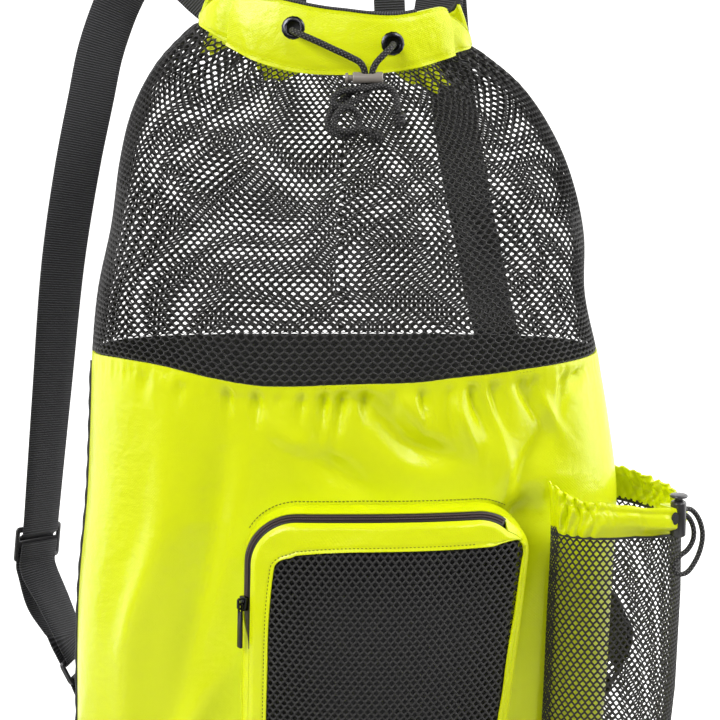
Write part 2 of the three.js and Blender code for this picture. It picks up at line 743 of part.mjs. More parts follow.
// Zip slider and its pull, on the pocket's left side. In their frame X is across the zip, Y up along it
// and Z outwards.
const SLIDER = {
  step: 25, // the pocket's column below it, and the share of the way to the next
  along: 0.75,
  wide: 8,
  long: 11,
  thick: 3.2,
  bridge: 2.2,
  bridgeLong: 9,
  under: 3,
  bar: 1.3,
};
const PULL = { long: 34, wide: 5.6, neck: 5.2, thick: 1.6, axle: 1.6, holeWide: 3.4, holeLong: 5.2 };

function roundedShape(halfTop, halfLow, low, high, round) {
  const shape = new THREE.Shape();
  shape.moveTo(-halfLow + round, low);
  shape.lineTo(halfLow - round, low);
  shape.quadraticCurveTo(halfLow, low, halfLow, low + round);
  shape.lineTo(halfTop, high - round);
  shape.quadraticCurveTo(halfTop, high, halfTop - round, high);
  shape.lineTo(-halfTop + round, high);
  shape.quadraticCurveTo(-halfTop, high, -halfTop, high - round);
  shape.lineTo(-halfLow, low + round);
  shape.quadraticCurveTo(-halfLow, low, -halfLow + round, low);
  return shape;
}

function sliderGeometry() {
  const { wide, long, thick, bridge, bridgeLong, under, bar } = SLIDER;
  const plate = new THREE.ExtrudeGeometry(roundedShape(wide / 2, wide / 2 - 1.2, -long / 2, long / 2, 1.5), {
    depth: thick,
    bevelEnabled: false,
    curveSegments: 3,
  });
  const arch = new THREE.Shape();
  arch.moveTo(-bridgeLong / 2, -0.5);
  arch.lineTo(-bridgeLong / 2, under);
  arch.lineTo(-bridgeLong / 2 + bar, under + bar);
  arch.lineTo(bridgeLong / 2 - bar, under + bar);
  arch.lineTo(bridgeLong / 2, under);
  arch.lineTo(bridgeLong / 2, -0.5);
  arch.lineTo(bridgeLong / 2 - bar, -0.5);
  arch.lineTo(bridgeLong / 2 - bar, under - 0.3);
  arch.lineTo(bridgeLong / 2 - bar - 0.3, under);
  arch.lineTo(-bridgeLong / 2 + bar + 0.3, under);
  arch.lineTo(-bridgeLong / 2 + bar, under - 0.3);
  arch.lineTo(-bridgeLong / 2 + bar, -0.5);
  const bridgePiece = new THREE.ExtrudeGeometry(arch, { depth: bridge, bevelEnabled: false });
  const stand = new THREE.Matrix4().makeBasis(
    new THREE.Vector3(0, 1, 0),
    new THREE.Vector3(0, 0, 1),
    new THREE.Vector3(1, 0, 0),
  );
  bridgePiece.applyMatrix4(stand).translate(-bridge / 2, 0, thick);
  return fromSolid(toSolid(plate).add(toSolid(bridgePiece)));
}

function pullGeometry() {
  const { long, wide, neck, thick, holeWide, holeLong } = PULL;
  const shape = roundedShape(neck / 2, wide / 2, -long, thick / 2, 1);
  const hole = new THREE.Path();
  hole.moveTo(-holeWide / 2, -thick / 2);
  hole.lineTo(-holeWide / 2, -thick / 2 - holeLong);
  hole.lineTo(holeWide / 2, -thick / 2 - holeLong);
  hole.lineTo(holeWide / 2, -thick / 2);
  shape.holes.push(hole);
  const pull = new THREE.ExtrudeGeometry(shape, { depth: thick, bevelEnabled: false, curveSegments: 3 });
  return pull.translate(0, 0, -thick / 2);
}

{
  const at = (step, row) => new THREE.Vector3(...zipSurface(0)(step / ZIP_COLUMNS, row));
  const [lower, upper] = [at(SLIDER.step - ZIP.first, 0.5), at(SLIDER.step - ZIP.first + 1, 0.5)];
  const spot = lower.clone().lerp(upper, SLIDER.along);
  const up = lower.clone().sub(upper).normalize();
  const slope = at(SLIDER.step - ZIP.first, 1).sub(at(SLIDER.step - ZIP.first, 0));
  const out = slope.cross(up).normalize();
  if (out.y > 0) out.negate();
  const across = up.clone().cross(out);
  const group = new THREE.Group();
  group.quaternion.setFromRotationMatrix(new THREE.Matrix4().makeBasis(across, up, out));
  group.position.copy(spot).addScaledVector(out, 2 * GAP);
  addPiece("zip_slider", sliderGeometry(), "dark_metal", group);
  const pull = addPiece("zip_pull", pullGeometry(), "dark_metal", group);
  pull.position.z = SLIDER.thick + PULL.axle;
  bag.add(group);
}

// Bottle pocket on the right front corner: a net wall on an arc, a net floor and a gathered hem
const BOTTLE = {
  x: 206, // axis of the pocket's arc
  y: -52,
  radius: 66,
  low: 22,
  frontAngle: degrees(312.5), // seams on the bag's front and side
  sideAngle: degrees(362.5),
};
const BOTTLE_SECTIONS = [
  { z: 22, shrink: 17 },
  { z: 60, shrink: 7 },
  { z: 120, shrink: 2 },
  { z: 200, shrink: 0 },
  { z: 300, shrink: 2 },
];
const BOTTLE_HEM = { thick: 2, pleats: 13, pleatDepth: 3, flare: 1.2, room: 3 * GAP };

// Heights of the hem's seam and rim, from the pocket's front seam round to its side seam.
const BOTTLE_RIM = [
  { share: 0, seam: 258, rim: 297 },
  { share: 0.12, seam: 258, rim: 287 },
  { share: 0.3, seam: 259, rim: 285 },
  { share: 0.62, seam: 250, rim: 275 },
  { share: 0.82, seam: 252, rim: 277 },
  { share: 1, seam: 256, rim: 284 },
];
const BOTTLE_COLUMNS = 17;
const HEM_COLUMNS = 52;

// A straight-line reading of a table between its rows.
function readTable(table, key, at, value) {
  let i = 0;
  while (i < table.length - 2 && at > table[i + 1][key]) i++;
  const [low, high] = [table[i], table[i + 1]];
  return mix(low[value], high[value], (at - low[key]) / (high[key] - low[key]));
}

// A plan point of the pocket's wall, from its seam on the bag's front round to the one on its side.
function bottlePoint(share, z, inset) {
  const ends = [BOTTLE.frontAngle, BOTTLE.sideAngle].map((angle) => {
    const [x, y] = bagPoint(z, angle, -5 * GAP);
    return { angle: Math.atan2(y - BOTTLE.y, x - BOTTLE.x), far: Math.hypot(x - BOTTLE.x, y - BOTTLE.y) };
  });
  const from = ends[0].angle;
  const to = ends[1].angle;
  const angle = mix(from, to, share);
  const free = BOTTLE.radius - readTable(BOTTLE_SECTIONS, "z", z, "shrink");
  const held = mix(ends[0].far, ends[1].far, share);
  const away = Math.sin(Math.PI * share) ** 0.5;
  const far = mix(held, free, away) - inset;
  return [BOTTLE.x + far * Math.cos(angle), BOTTLE.y + far * Math.sin(angle), z];
}

const bottleSurface = (inset) => (column, row) =>
  bottlePoint(column, mix(BOTTLE.low, readTable(BOTTLE_RIM, "share", column, "seam"), row), inset);
const bottleWall = toSolid(wallGeometry(bottleSurface(0), bottleSurface(CLOTH), BOTTLE_COLUMNS, 5));
const floorOutline = [];
for (let i = 0; i <= BOTTLE_COLUMNS; i++) {
  floorOutline.push(new THREE.Vector2(...bottlePoint(i / BOTTLE_COLUMNS, BOTTLE.low, CLOTH / 2).slice(0, 2)));
}
const FLOOR_BACK_STEPS = 8;
for (let i = 1; i < FLOOR_BACK_STEPS; i++) {
  const angle = mix(BOTTLE.sideAngle, BOTTLE.frontAngle, i / FLOOR_BACK_STEPS);
  floorOutline.push(new THREE.Vector2(...bagPoint(BOTTLE.low, angle, -4 * GAP).slice(0, 2)));
}
const bottleFloor = new THREE.ExtrudeGeometry(new THREE.Shape(floorOutline), {
  depth: CLOTH,
  bevelEnabled: false,
});
bottleFloor.translate(0, 0, BOTTLE.low);
addPiece("bottle_pocket_mesh", fromSolid(bottleWall.add(toSolid(bottleFloor))), "dark_net");

const hemSurface = (inset) => (column, row) => {
  const seam = readTable(BOTTLE_RIM, "share", column, "seam") + BOTTLE_HEM.room;
  const z = mix(seam, readTable(BOTTLE_RIM, "share", column, "rim"), row);
  const wave = 0.5 + 0.5 * Math.cos(2 * Math.PI * BOTTLE_HEM.pleats * column);
  const free = Math.sin(Math.PI * column) ** 0.3;
  const swell = BOTTLE_HEM.pleatDepth * free * Math.sin(Math.PI * Math.min(1, 0.15 + row));
  return bottlePoint(column, z, inset + swell * (wave - 0.6) - BOTTLE_HEM.flare * free * row);
};
addPiece(
  "bottle_pocket_hem",
  wallGeometry(hemSurface(0), hemSurface(BOTTLE_HEM.thick), HEM_COLUMNS, 2),
  "bright_cloth",
);

// The bottle pocket's cord comes out of the hem, passes its lock as two strands and hangs in a loop.
const BOTTLE_CORD = [
  [240.7, -109.1, 277.9],
  [247, -113.6, 277.9],
  [253.5, -113.3, 277.9],
  [259.9, -107, 277.9],
  [266.3, -100.7, 277.9],
  [272, -97, 276],
  [277.8, -96, 268.5],
  [280.8, -97, 257.5],
  [279.5, -98.8, 246.5],
  [274.8, -101.2, 235.5],
  [268, -104, 227.8],
  [260.5, -107, 228],
  [257.5, -108, 235],
  [262, -106, 241.5],
  [268.5, -103.2, 246],
  [272.8, -101.2, 253],
  [273.4, -100, 261],
  [271, -98.2, 268],
  [266.3, -100.7, 273.1],
  [259.9, -107, 273.1],
  [253.5, -113.3, 273.1],
  [247, -113.6, 273.1],
  [240.7, -109.1, 273.1],
];
const BOTTLE_CORD_STEPS = 34;
const bottleCord = tubeGeometry(pointList(BOTTLE_CORD), POCKET_CORD, BOTTLE_CORD_STEPS, 8);
addPiece("bottle_pocket_cord", bottleCord, "cord");
addLock("bottle_lock", BOTTLE_LOCK, BOTTLE_BUTTON, POCKET_CORD, {
  middle: new THREE.Vector3(259.9, -107, 275.5),
  up: new THREE.Vector3(0, 0, 1),
  through: new THREE.Vector3(1, 1, 0).normalize(),
});

// Shoulder straps: from the collar's back over an arch, down to a slider, round a ring and back to the slider
const STRAP_LEFT = [
  { x: -72, y: 43.6, z: 638, up: 0, side: 7 },
  { x: -86, y: 45, z: 648.5, up: 0, side: 6 },
  { x: -103, y: 50, z: 661, up: 8, side: 0 },
  { x: -122, y: 57, z: 676, up: 35, side: 0 },
  { x: -139, y: 67, z: 688, up: 72, side: 0 },
  { x: -157, y: 80, z: 690, up: 112, side: 0 },
  { x: -173, y: 89, z: 678, up: 152, side: 0 },
  { x: -184, y: 91, z: 660, up: 176, side: 3 },
  { x: -199, y: 88, z: 620, up: 180, side: 8 },
  { x: -208, y: 85, z: 580, up: 180, side: 12 },
  { x: -220, y: 82, z: 525, up: 180, side: 18 },
  { x: -234, y: 80, z: 445, up: 180, side: 26 },
  { x: -247, y: 78, z: 330, up: 180, side: 38 },
  { x: -254.5, y: 77.5, z: 262, up: 180, side: 44 },
  { x: -259, y: 77.5, z: 221, up: 180, side: 47 },
];
const STRAP_RIGHT = [
  { x: 73, y: 43.2, z: 632, up: 0, side: -7 },
  { x: 77, y: 44.6, z: 645, up: 0, side: -5 },
  { x: 80, y: 50, z: 661, up: 10, side: 0 },
  { x: 82, y: 60, z: 679, up: 40, side: 0 },
  { x: 83, y: 74, z: 690, up: 80, side: 0 },
  { x: 84, y: 90, z: 688, up: 120, side: 0 },
  { x: 85, y: 102, z: 672, up: 158, side: 0 },
  { x: 87, y: 107, z: 648, up: 178, side: 0 },
  { x: 92, y: 111, z: 600, up: 180, side: 0 },
  { x: 102, y: 116, z: 530, up: 180, side: 0 },
  { x: 120, y: 121, z: 440, up: 180, side: -4 },
  { x: 145, y: 121, z: 330, up: 180, side: -12 },
  { x: 163, y: 117, z: 262, up: 180, side: -18 },
  { x: 173, y: 114, z: 224, up: 180, side: -21 },
];
const ADJUSTER = { long: 31, wide: 48, thick: 2.4, bar: 5, middle: 7, round: 4, room: 0.8 };
const RING = { wide: 48, long: 22, wire: 3.4, round: 5, room: 0.45, lead: 14 };
// The left strap's lower fastening: where its ring and its tab's root lie and how they face.
const ANCHOR = {
  ring: [-226.6, 55, 98.6],
  along: [-0.43, 0, 0.9],
  across: [0.36, 0.92, 0.17],
  rootHeight: 64,
  rootAngle: degrees(23.4), // behind the bag's widest point
  sewn: 10,
};
const LAYER = 0.7; // room between two layers of webbing
const STRAP_SPACING = 24;
const RUN_STRAIGHT = 22; // the strap's straight stretch above the slider's middle
const REAR_BOW = { share: 0.6, out: 11 };
const SLIDER_STEPS = [-16, -11, -9.6, -7, -4.4, -3, 3, 9, 13]; // places along the strap at the slider, in mm

// The fastening of the strap on one side. The right one is the left one's mirror image.
function anchorFrame(side) {
  const flip = side === "left" ? 1 : -1;
  const turned = ([x, y, z]) => new THREE.Vector3(x * flip, y, z);
  const along = turned(ANCHOR.along).normalize();
  const across = turned(ANCHOR.across).normalize();
  const out = along.clone().cross(across).multiplyScalar(flip);
  const angle = flip > 0 ? Math.PI - ANCHOR.rootAngle : ANCHOR.rootAngle;
  const above = WEBBING.thick / 2 + GAP;
  const onBag = (turn) => new THREE.Vector3(...bagPoint(ANCHOR.rootHeight, angle + turn, -above));
  const level = onBag(0.01).sub(onBag(-0.01));
  const rootFace = level.cross(new THREE.Vector3(0, 0, 1)).normalize();
  return { along, across, out, ring: turned(ANCHOR.ring), root: onBag(0), rootFace };
}

function frameOutline(wide, long, round) {
  return roundedShape(wide / 2, wide / 2, -long / 2, long / 2, round);
}

function slotPath(wide, low, high) {
  const path = new THREE.Path();
  path.moveTo(-wide / 2, low);
  path.lineTo(-wide / 2, high);
  path.lineTo(wide / 2, high);
  path.lineTo(wide / 2, low);
  return path;
}

function platePiece(shape, thick) {
  const plate = new THREE.ExtrudeGeometry(shape, { depth: thick, bevelEnabled: false, curveSegments: 4 });
  return plate.translate(0, 0, -thick / 2);
}

function adjusterGeometry() {
  const { long, wide, thick, bar, middle, round } = ADJUSTER;
  const shape = frameOutline(wide, long, round);
  const slotWide = WEBBING.wide + 2;
  shape.holes.push(slotPath(slotWide, middle / 2, long / 2 - bar));
  shape.holes.push(slotPath(slotWide, bar - long / 2, -middle / 2));
  return platePiece(shape, thick);
}

function ringGeometry() {
  const { wide, long, wire, round } = RING;
  const shape = frameOutline(wide, long, round);
  shape.holes.push(slotPath(wide - 2 * wire, wire - long / 2, long / 2 - wire));
  return platePiece(shape, wire);
}

// Half a turn of a strip about a bar, from one side of it to the other.
function wrapStations(bar, start, end, radius, steps) {
  const stations = [];
  for (let i = 0; i <= steps; i++) {
    const turn = (i / steps) * Math.PI;
    const face = start.clone().multiplyScalar(Math.cos(turn)).addScaledVector(end, Math.sin(turn));
    stations.push({ point: bar.clone().addScaledVector(face, radius), face });
  }
  return stations;
}

function placeFlat(mesh, middle, across, along, face) {
  mesh.quaternion.setFromRotationMatrix(new THREE.Matrix4().makeBasis(across, along, face));
  mesh.position.copy(middle);
}

function addStrap(side, table) {
  const { along, across, out, ring, root, rootFace } = anchorFrame(side);
  const wrap = RING.wire * Math.SQRT1_2 + RING.room + WEBBING.thick / 2;
  const reach = (RING.long - RING.wire) / 2;
  const lowBar = ring.clone().addScaledVector(along, -reach);
  const highBar = ring.clone().addScaledVector(along, reach);
  const back = out.clone().negate();

  // The tab lies on the bag, turns over the ring's lower bar and comes back on itself.
  const inner = rootFace.clone().negate();
  const sewn = new THREE.Vector3(0, 0, -ANCHOR.sewn);
  const outerRoot = root.clone().addScaledVector(rootFace, WEBBING.thick + LAYER);
  const tab = [
    { point: root.clone().add(sewn), face: inner },
    { point: root, face: inner },
    ...wrapStations(lowBar, back, along, wrap, 6),
    { point: outerRoot, face: rootFace },
    { point: outerRoot.clone().add(sewn), face: rootFace },
  ];
  addPiece("strap_tab_" + side, ribbonGeometry(tab, WEBBING), "webbing");
  const ringPiece = addPiece("strap_ring_" + side, ringGeometry(), "dark_plastic");
  placeFlat(ringPiece, ring, along.clone().cross(out), along, out);

  // The slider lies behind the strap's line, past the table's last row.
  const rows = table.map(strapRow);
  const end = rows.at(-1);
  const run = end.point.clone().sub(rows.at(-2).point).normalize();
  const face = end.face.clone().addScaledVector(run, -end.face.dot(run)).normalize();
  const off = ADJUSTER.thick / 2 + WEBBING.thick / 2 + ADJUSTER.room;
  const slider = end.point.clone().addScaledVector(run, RUN_STRAIGHT).addScaledVector(face, off);
  const up = run.clone().negate();
  const adjuster = addPiece("strap_slider_" + side, adjusterGeometry(), "dark_plastic");
  placeFlat(adjuster, slider, up.clone().cross(face), up, face);
  const nearSlider = (distance, offset) =>
    slider.clone().addScaledVector(run, distance).addScaledVector(face, offset);

  // The strap passes in front of the slider's upper bar, through its slot and behind the other bars.
  const stations = smoothStations(rows, STRAP_SPACING);
  for (const distance of SLIDER_STEPS) {
    const through = ease(SLIDER_STEPS[2], SLIDER_STEPS[4], distance);
    stations.push({ point: nearSlider(distance, mix(-off, off, through)), face });
  }
  const behind = nearSlider(ADJUSTER.long / 2 + 5, off);
  const arrive = highBar.clone().addScaledVector(along, RING.lead).addScaledVector(out, wrap);
  const middle = behind.clone().lerp(arrive, REAR_BOW.share);
  const downRun = [
    { point: behind, face },
    { point: middle.clone().addScaledVector(face, REAR_BOW.out), face: face.clone().lerp(out, 0.5) },
    { point: arrive, face: out },
  ];
  stations.push(...smoothStations(downRun, STRAP_SPACING));

  // Round the ring's upper bar it turns back and ends in front of the slider's middle bar.
  stations.push(...wrapStations(highBar, out, along.clone().negate(), wrap, 6));
  const frontFace = face.clone().negate();
  const leave = highBar.clone().addScaledVector(along, RING.lead).addScaledVector(back, wrap);
  const front = nearSlider(ADJUSTER.long / 2 + 5, -off);
  const upRun = [
    { point: leave, face: back },
    { point: leave.clone().lerp(front, 0.5), face: back.clone().lerp(frontFace, 0.5) },
    { point: front, face: frontFace },
    { point: nearSlider(ADJUSTER.middle, -off), face: frontFace },
    { point: nearSlider(-1, -off), face: frontFace },
  ];
  stations.push(...smoothStations(upRun, STRAP_SPACING));
  addPiece("shoulder_strap_" + side, ribbonGeometry(stations, WEBBING), "webbing");
}

addStrap("left", STRAP_LEFT);
addStrap("right", STRAP_RIGHT);

// Grab handle: narrower webbing from one side of the collar's back to the other, turned over at its top
const HANDLE_HALF = [
  { x: 40, y: 46.4, z: 630, up: 0, side: 0 },
  { x: 40, y: 46.8, z: 652, up: 0, side: 0 },
  { x: 37, y: 49, z: 677, up: 22, side: 6 },
  { x: 24, y: 53, z: 699, up: 50, side: 8 },
  { x: 0, y: 55, z: 708, up: 62, side: 0 },
];
const handleRows = [
  ...HANDLE_HALF.slice(0, -1).map((row) => ({ ...row, x: -row.x, side: -row.side })),
  ...[...HANDLE_HALF].reverse(),
];
const HANDLE_SPACING = 14;
const handleStations = smoothStations(handleRows.map(strapRow), HANDLE_SPACING);
addPiece("grab_handle", ribbonGeometry(handleStations, HANDLE_WEBBING), "webbing");

export default bag;
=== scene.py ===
"""Looks of a mesh drawstring backpack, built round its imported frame."""

import math

import bpy
import numpy as np
from mathutils import Matrix, Vector


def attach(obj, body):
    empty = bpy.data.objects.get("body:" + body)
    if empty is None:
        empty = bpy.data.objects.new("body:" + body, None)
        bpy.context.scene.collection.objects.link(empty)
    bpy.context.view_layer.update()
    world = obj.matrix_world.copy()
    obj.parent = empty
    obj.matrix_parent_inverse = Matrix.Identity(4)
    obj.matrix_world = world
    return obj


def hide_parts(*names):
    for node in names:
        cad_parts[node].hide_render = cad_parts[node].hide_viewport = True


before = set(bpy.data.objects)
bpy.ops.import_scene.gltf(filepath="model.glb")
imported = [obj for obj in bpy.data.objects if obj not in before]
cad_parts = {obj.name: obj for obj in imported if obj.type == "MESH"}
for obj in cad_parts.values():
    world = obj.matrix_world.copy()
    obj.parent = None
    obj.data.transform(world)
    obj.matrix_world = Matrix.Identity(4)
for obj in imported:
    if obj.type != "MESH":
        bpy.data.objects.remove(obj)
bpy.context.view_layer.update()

bl_info = {
    "name": "Mesh Backpack",
    "version": (1, 0, 0),
    "blender": (4, 5, 0),
    "location": "View3D > Sidebar > Backpack",
    "description": "Cloth, net, webbing and cords of a mesh drawstring backpack",
    "category": "Add Mesh",
}

MM = 0.001
BODY = "bag"

# Sizes in millimetres, the same as the frame's
CLOTH = 1.6
HEM_HEIGHT = 382
MOUTH_SEAM = 606
FRONT_ROUNDNESS = 2.4
BACK_ROUNDNESS = 3.6
SIDE_SEAM = math.radians(7)
SEAM_LEFT = math.pi + SIDE_SEAM
SEAM_RIGHT = 2 * math.pi + SIDE_SEAM
# Room that the cloth leaves for the piping, and the piping's and the net seams' thickness
SEAM_ROOM = math.radians(1.1)
PIPING_THICK, NET_SEAM_THICK = 3.6, 2.4
# Heights at which the widths of the cloth and the net are measured
CLOTH_LEVEL, NET_LEVEL = 200, 450
RISE_LEFT, RISE_RIGHT, RISE_BACK = 39, 20, 8
COLLAR_TILT = 0.04
COLLAR_CLOTH = 2.2

# Plan sections of the bag: z, left, right, front, back, lift
SECTIONS = np.array(
    [
        (0, 204, 202, 94, 76, 0),
        (30, 218, 214, 107, 82, 0),
        (100, 219, 220, 115, 84, 0),
        (190, 215, 223, 120, 84, 0),
        (270, 206, 225, 122, 84, 0),
        (330, 202, 217, 121, 83, 0),
        (382, 199, 207, 119, 82, 0),
        (427, 193, 196, 116, 80, 0.2),
        (472, 181, 194, 110, 77, 0.4),
        (516, 173, 182, 101, 72, 0.6),
        (550, 162, 165, 90, 66, 0.75),
        (579, 143, 142, 76, 58, 0.88),
        (606, 111, 104, 58, 46, 1),
    ]
)
COLLAR_SECTIONS = np.array(
    [
        (606, 111, 104, 58, 46, 1),
        (632, 107, 101, 57, 45, 0.7),
        (656, 100, 96, 53, 42, 0.4),
    ]
)
COLLAR_TOP = 656
CORNER_HIGH = 8
BACK_DIP = 11
FRONT_ANGLE = 270
# Plan angle of each lap of the collar and how far it steps in
COLLAR_LAPS = ((221, 7.5), (328, 4.0))

# Creases of the walls: low, high, low angle, high angle, width, depth
CREASES = (
    (520, 690, 229, 223, 8, 9),
    (535, 690, 318, 325, 7, 8),
    (380, 560, 232, 240, 9, 5),
    (415, 535, 336, 313, 8, 6),
    (500, 600, 252, 236, 8, 4),
    (270, 380, 243, 238, 7, 3.5),
    (300, 384, 318, 311, 7, 3.5),
)
GATHER_COUNT, GATHER_DEPTH, GATHER_REACH = 22, 1.6, 55

# Soft folds of the bright cloth: x, z of its middle, turn from level, half length, half width, height
CLOTH_FOLDS = (
    (-150, 374, 88, 10, 5, -0.9),
    (-120, 373, 90, 12, 5, -1.1),
    (-85, 370, 91, 14, 4, -1.7),
    (-62, 368, 90, 18, 4.5, -2.3),
    (-45, 374, 86, 10, 3, -1.2),
    (-28, 370, 88, 16, 4, -1.9),
    (-11, 366, 84, 22, 4.5, -2.6),
    (2, 365, 82, 24, 5, -2.8),
    (20, 370, 95, 16, 4, -1.7),
    (42, 372, 96, 14, 4, -1.5),
    (64, 368, 98, 20, 4, -2.1),
    (84, 370, 94, 18, 4.5, -1.9),
    (102, 371, 100, 16, 4, -1.7),
    (120, 367, 104, 24, 5, -2.1),
    (150, 372, 98, 16, 4, -1.5),
    (175, 372, 80, 18, 4, -1.9),
    (-7, 317, -39, 32, 11, -2.9),
    (-30, 334, -32, 28, 9, 1.8),
    (37, 349, -44, 33, 11, -3.0),
    (60, 356, -46, 28, 10, 1.2),
    (66, 327, -20, 22, 9, -2.4),
    (93, 350, -68, 26, 6, 2.2),
    (110, 352, -70, 20, 5, -2.1),
    (147, 362, -58, 24, 5, -2.5),
    (160, 350, -60, 22, 6, 1.9),
    (186, 377, 55, 14, 4, -2.0),
    (125, 318, -80, 26, 9, 2.0),
    (150, 318, 60, 28, 9, -1.9),
    (-130, 300, 84, 90, 16, 1.6),
    (-96, 285, 80, 80, 13, -2.0),
    (-150, 210, 70, 80, 14, 1.8),
    (-115, 190, 78, 90, 12, -2.0),
    (-165, 130, 82, 80, 12, 1.8),
    (-112, 110, 60, 70, 12, 1.8),
    (150, 240, 66, 44, 8, -2.2),
    (143, 205, 86, 85, 14, -6.0),
    (142, 270, 20, 26, 15, -4.6),
    (142, 165, 80, 70, 9, 2.0),
    (-130, 50, 10, 70, 12, -1.8),
    (60, 24, 5, 90, 10, -1.6),
)

# How much stronger the folds are than their heights above
FOLD_DEPTH = 2.7

# Plan angle and height of the bright cloth's top edge
HEM_LINE = np.array(
    [
        (187, 387),
        (198, 388.4),
        (211, 390.3),
        (221, 390.4),
        (229, 389.3),
        (236, 386.9),
        (247, 381.4),
        (256, 377.6),
        (264, 377.5),
        (272, 379.2),
        (283, 380.2),
        (291, 382.9),
        (301, 384.6),
        (313, 386.6),
        (332, 387.6),
        (350, 387),
        (367, 386),
    ]
)
# How far the net reaches down behind the hem, and the stitches lie below the hem's edge
NET_TUCK, HEM_STITCH = 4, 1.9

# The back's net is knitted heavier, as the straps pull on it
BACK_NET_THREAD = 2.9
# Height of a row of cells in the pockets' nets
POCKET_NET_ROW, BOTTLE_NET_ROW = 3.7, 3.65
# How far a cell's point stands up, as a share of the row
BODY_POINT, POCKET_POINT, BOTTLE_POINT, FLOOR_POINT = 0.76, 0.86, 0.84, 0.9

# Cloth that goes once round the flat mouth, as a share of twice its width, and what its folds add
MOUTH_SHARE, FOLD_CLOTH = 0.98, 60
# Plan angle and height of each eyelet
EYELETS = (("left", 254.6, 639), ("right", 289.8, 629))
# Plan angles and depth of each ragged facing that shows below the collar
FACINGS = ((203, 220, 13), (238, 257, 11), (291, 318, 20))
# Share of the collar's height at each of its rows of stitches
COLLAR_ROWS = (("seam", 0.07), ("channel", 0.95))


class BackpackSizes(bpy.types.PropertyGroup):
    """Sizes of the fine work that the cloth carries."""

    net_pitch: bpy.props.FloatProperty(
        name="Net pitch", description="Width of a cell of the body's net", default=0.007, unit="LENGTH"
    )
    net_row: bpy.props.FloatProperty(
        name="Net row", description="Height from one row of cells to the next", default=0.0037, unit="LENGTH"
    )
    pocket_net_pitch: bpy.props.FloatProperty(
        name="Pocket net pitch", description="Width of a pocket net's cell", default=0.0055, unit="LENGTH"
    )
    net_thread: bpy.props.FloatProperty(
        name="Net thread", description="Thickness of the body net's strands", default=0.0019, unit="LENGTH"
    )
    pocket_net_thread: bpy.props.FloatProperty(
        name="Pocket net thread",
        description="Thickness of the pocket nets' strands",
        default=0.0017,
        unit="LENGTH",
    )
    stitch: bpy.props.FloatProperty(
        name="Stitch", description="Length of a stitch and the gap after it", default=0.003, unit="LENGTH"
    )
    webbing_wide: bpy.props.FloatProperty(
        name="Webbing", description="Width of the shoulder straps", default=0.038, unit="LENGTH"
    )
    handle_wide: bpy.props.FloatProperty(
        name="Handle webbing", description="Width of the grab handle", default=0.025, unit="LENGTH"
    )
    drawcord: bpy.props.FloatProperty(
        name="Drawcord", description="Diameter of the drawcord", default=0.005, unit="LENGTH"
    )
    pocket_cord: bpy.props.FloatProperty(
        name="Pocket cord", description="Diameter of the bottle pocket's cord", default=0.004, unit="LENGTH"
    )


class BackpackColours(bpy.types.PropertyGroup):
    """Colours of the finishes, as sRGB hex."""

    cloth: bpy.props.StringProperty(name="Cloth", description="Coated bright cloth", default="E4EF00")
    net: bpy.props.StringProperty(name="Net", description="Knitted net", default="1C1A1A")
    dark_cloth: bpy.props.StringProperty(
        name="Dark cloth", description="Back and base cloth", default="29292C"
    )
    webbing: bpy.props.StringProperty(name="Webbing", description="Straps and handle", default="2B2B2E")
    cord: bpy.props.StringProperty(name="Cord", description="Drawcords", default="1A1919")
    plastic: bpy.props.StringProperty(
        name="Plastic", description="Sliders, rings and pocket lock", default="363537"
    )
    pale_plastic: bpy.props.StringProperty(
        name="Pale plastic", description="Drawcord's lock", default="8E877F"
    )
    metal: bpy.props.StringProperty(name="Metal", description="Eyelets", default="46464A")
    zip_metal: bpy.props.StringProperty(name="Zip metal", description="Zip slider and pull", default="303034")
    zip_tape: bpy.props.StringProperty(name="Zip tape", description="Woven tape of the zip", default="1E1517")
    zip_coil: bpy.props.StringProperty(name="Zip coil", description="Coil of the zip", default="5A494A")


def sizes():
    return bpy.context.scene.backpack_sizes


def colours():
    return bpy.context.scene.backpack_colours


# Form of the bag, on flat arrays in millimetres


def unit(v):
    return v / np.maximum(np.linalg.norm(v, axis=-1, keepdims=True), 1e-9)


def walked_along(points):
    """Length walked from the first point of a line to each of its points."""
    return np.r_[0, np.cumsum(np.linalg.norm(np.diff(points, axis=0), axis=1))]


def at_lengths(lengths, walked, points):
    """Points of a line at given lengths along it."""
    return np.stack([np.interp(lengths, walked, column) for column in points.T], -1)


def section_at(table, z):
    """Columns of a table of plan sections at given heights, along smooth curves."""
    heights = table[:, 0]
    last = len(heights) - 1
    steps = np.arange(last + 1)
    before, after = table[np.maximum(steps - 1, 0)], table[np.minimum(steps + 1, last)]
    slopes = (after[:, 1:] - before[:, 1:]) / (after[:, :1] - before[:, :1])
    i = np.clip(np.searchsorted(heights, z) - 1, 0, last - 1)
    span = heights[i + 1] - heights[i]
    t = ((z - heights[i]) / span)[:, None]
    low, high = table[i, 1:], table[i + 1, 1:]
    bend = (1 - t) * slopes[i] - t * slopes[i + 1]
    return (low + (high - low) * t * t * (3 - 2 * t) + span[:, None] * t * (1 - t) * bend).T


def plan_point(section, angle, inset):
    left, right, front, back = section[:4]
    c, s = np.cos(angle), np.sin(angle)
    power = 2 / np.where(s < 0, FRONT_ROUNDNESS, BACK_ROUNDNESS)
    wide = np.where(c < 0, left, right) - inset
    deep = np.where(s < 0, front, back) - inset
    return wide * np.sign(c) * np.abs(c) ** power, deep * np.sign(s) * np.abs(s) ** power


def mouth_rise(angle):
    c, s = np.cos(angle), np.sin(angle)
    return np.where(c < 0, RISE_LEFT, RISE_RIGHT) * c * c + RISE_BACK * np.maximum(s, 0) ** 2


def ease(low, high, value):
    t = np.clip((value - low) / (high - low), 0, 1)
    return t * t * (3 - 2 * t)


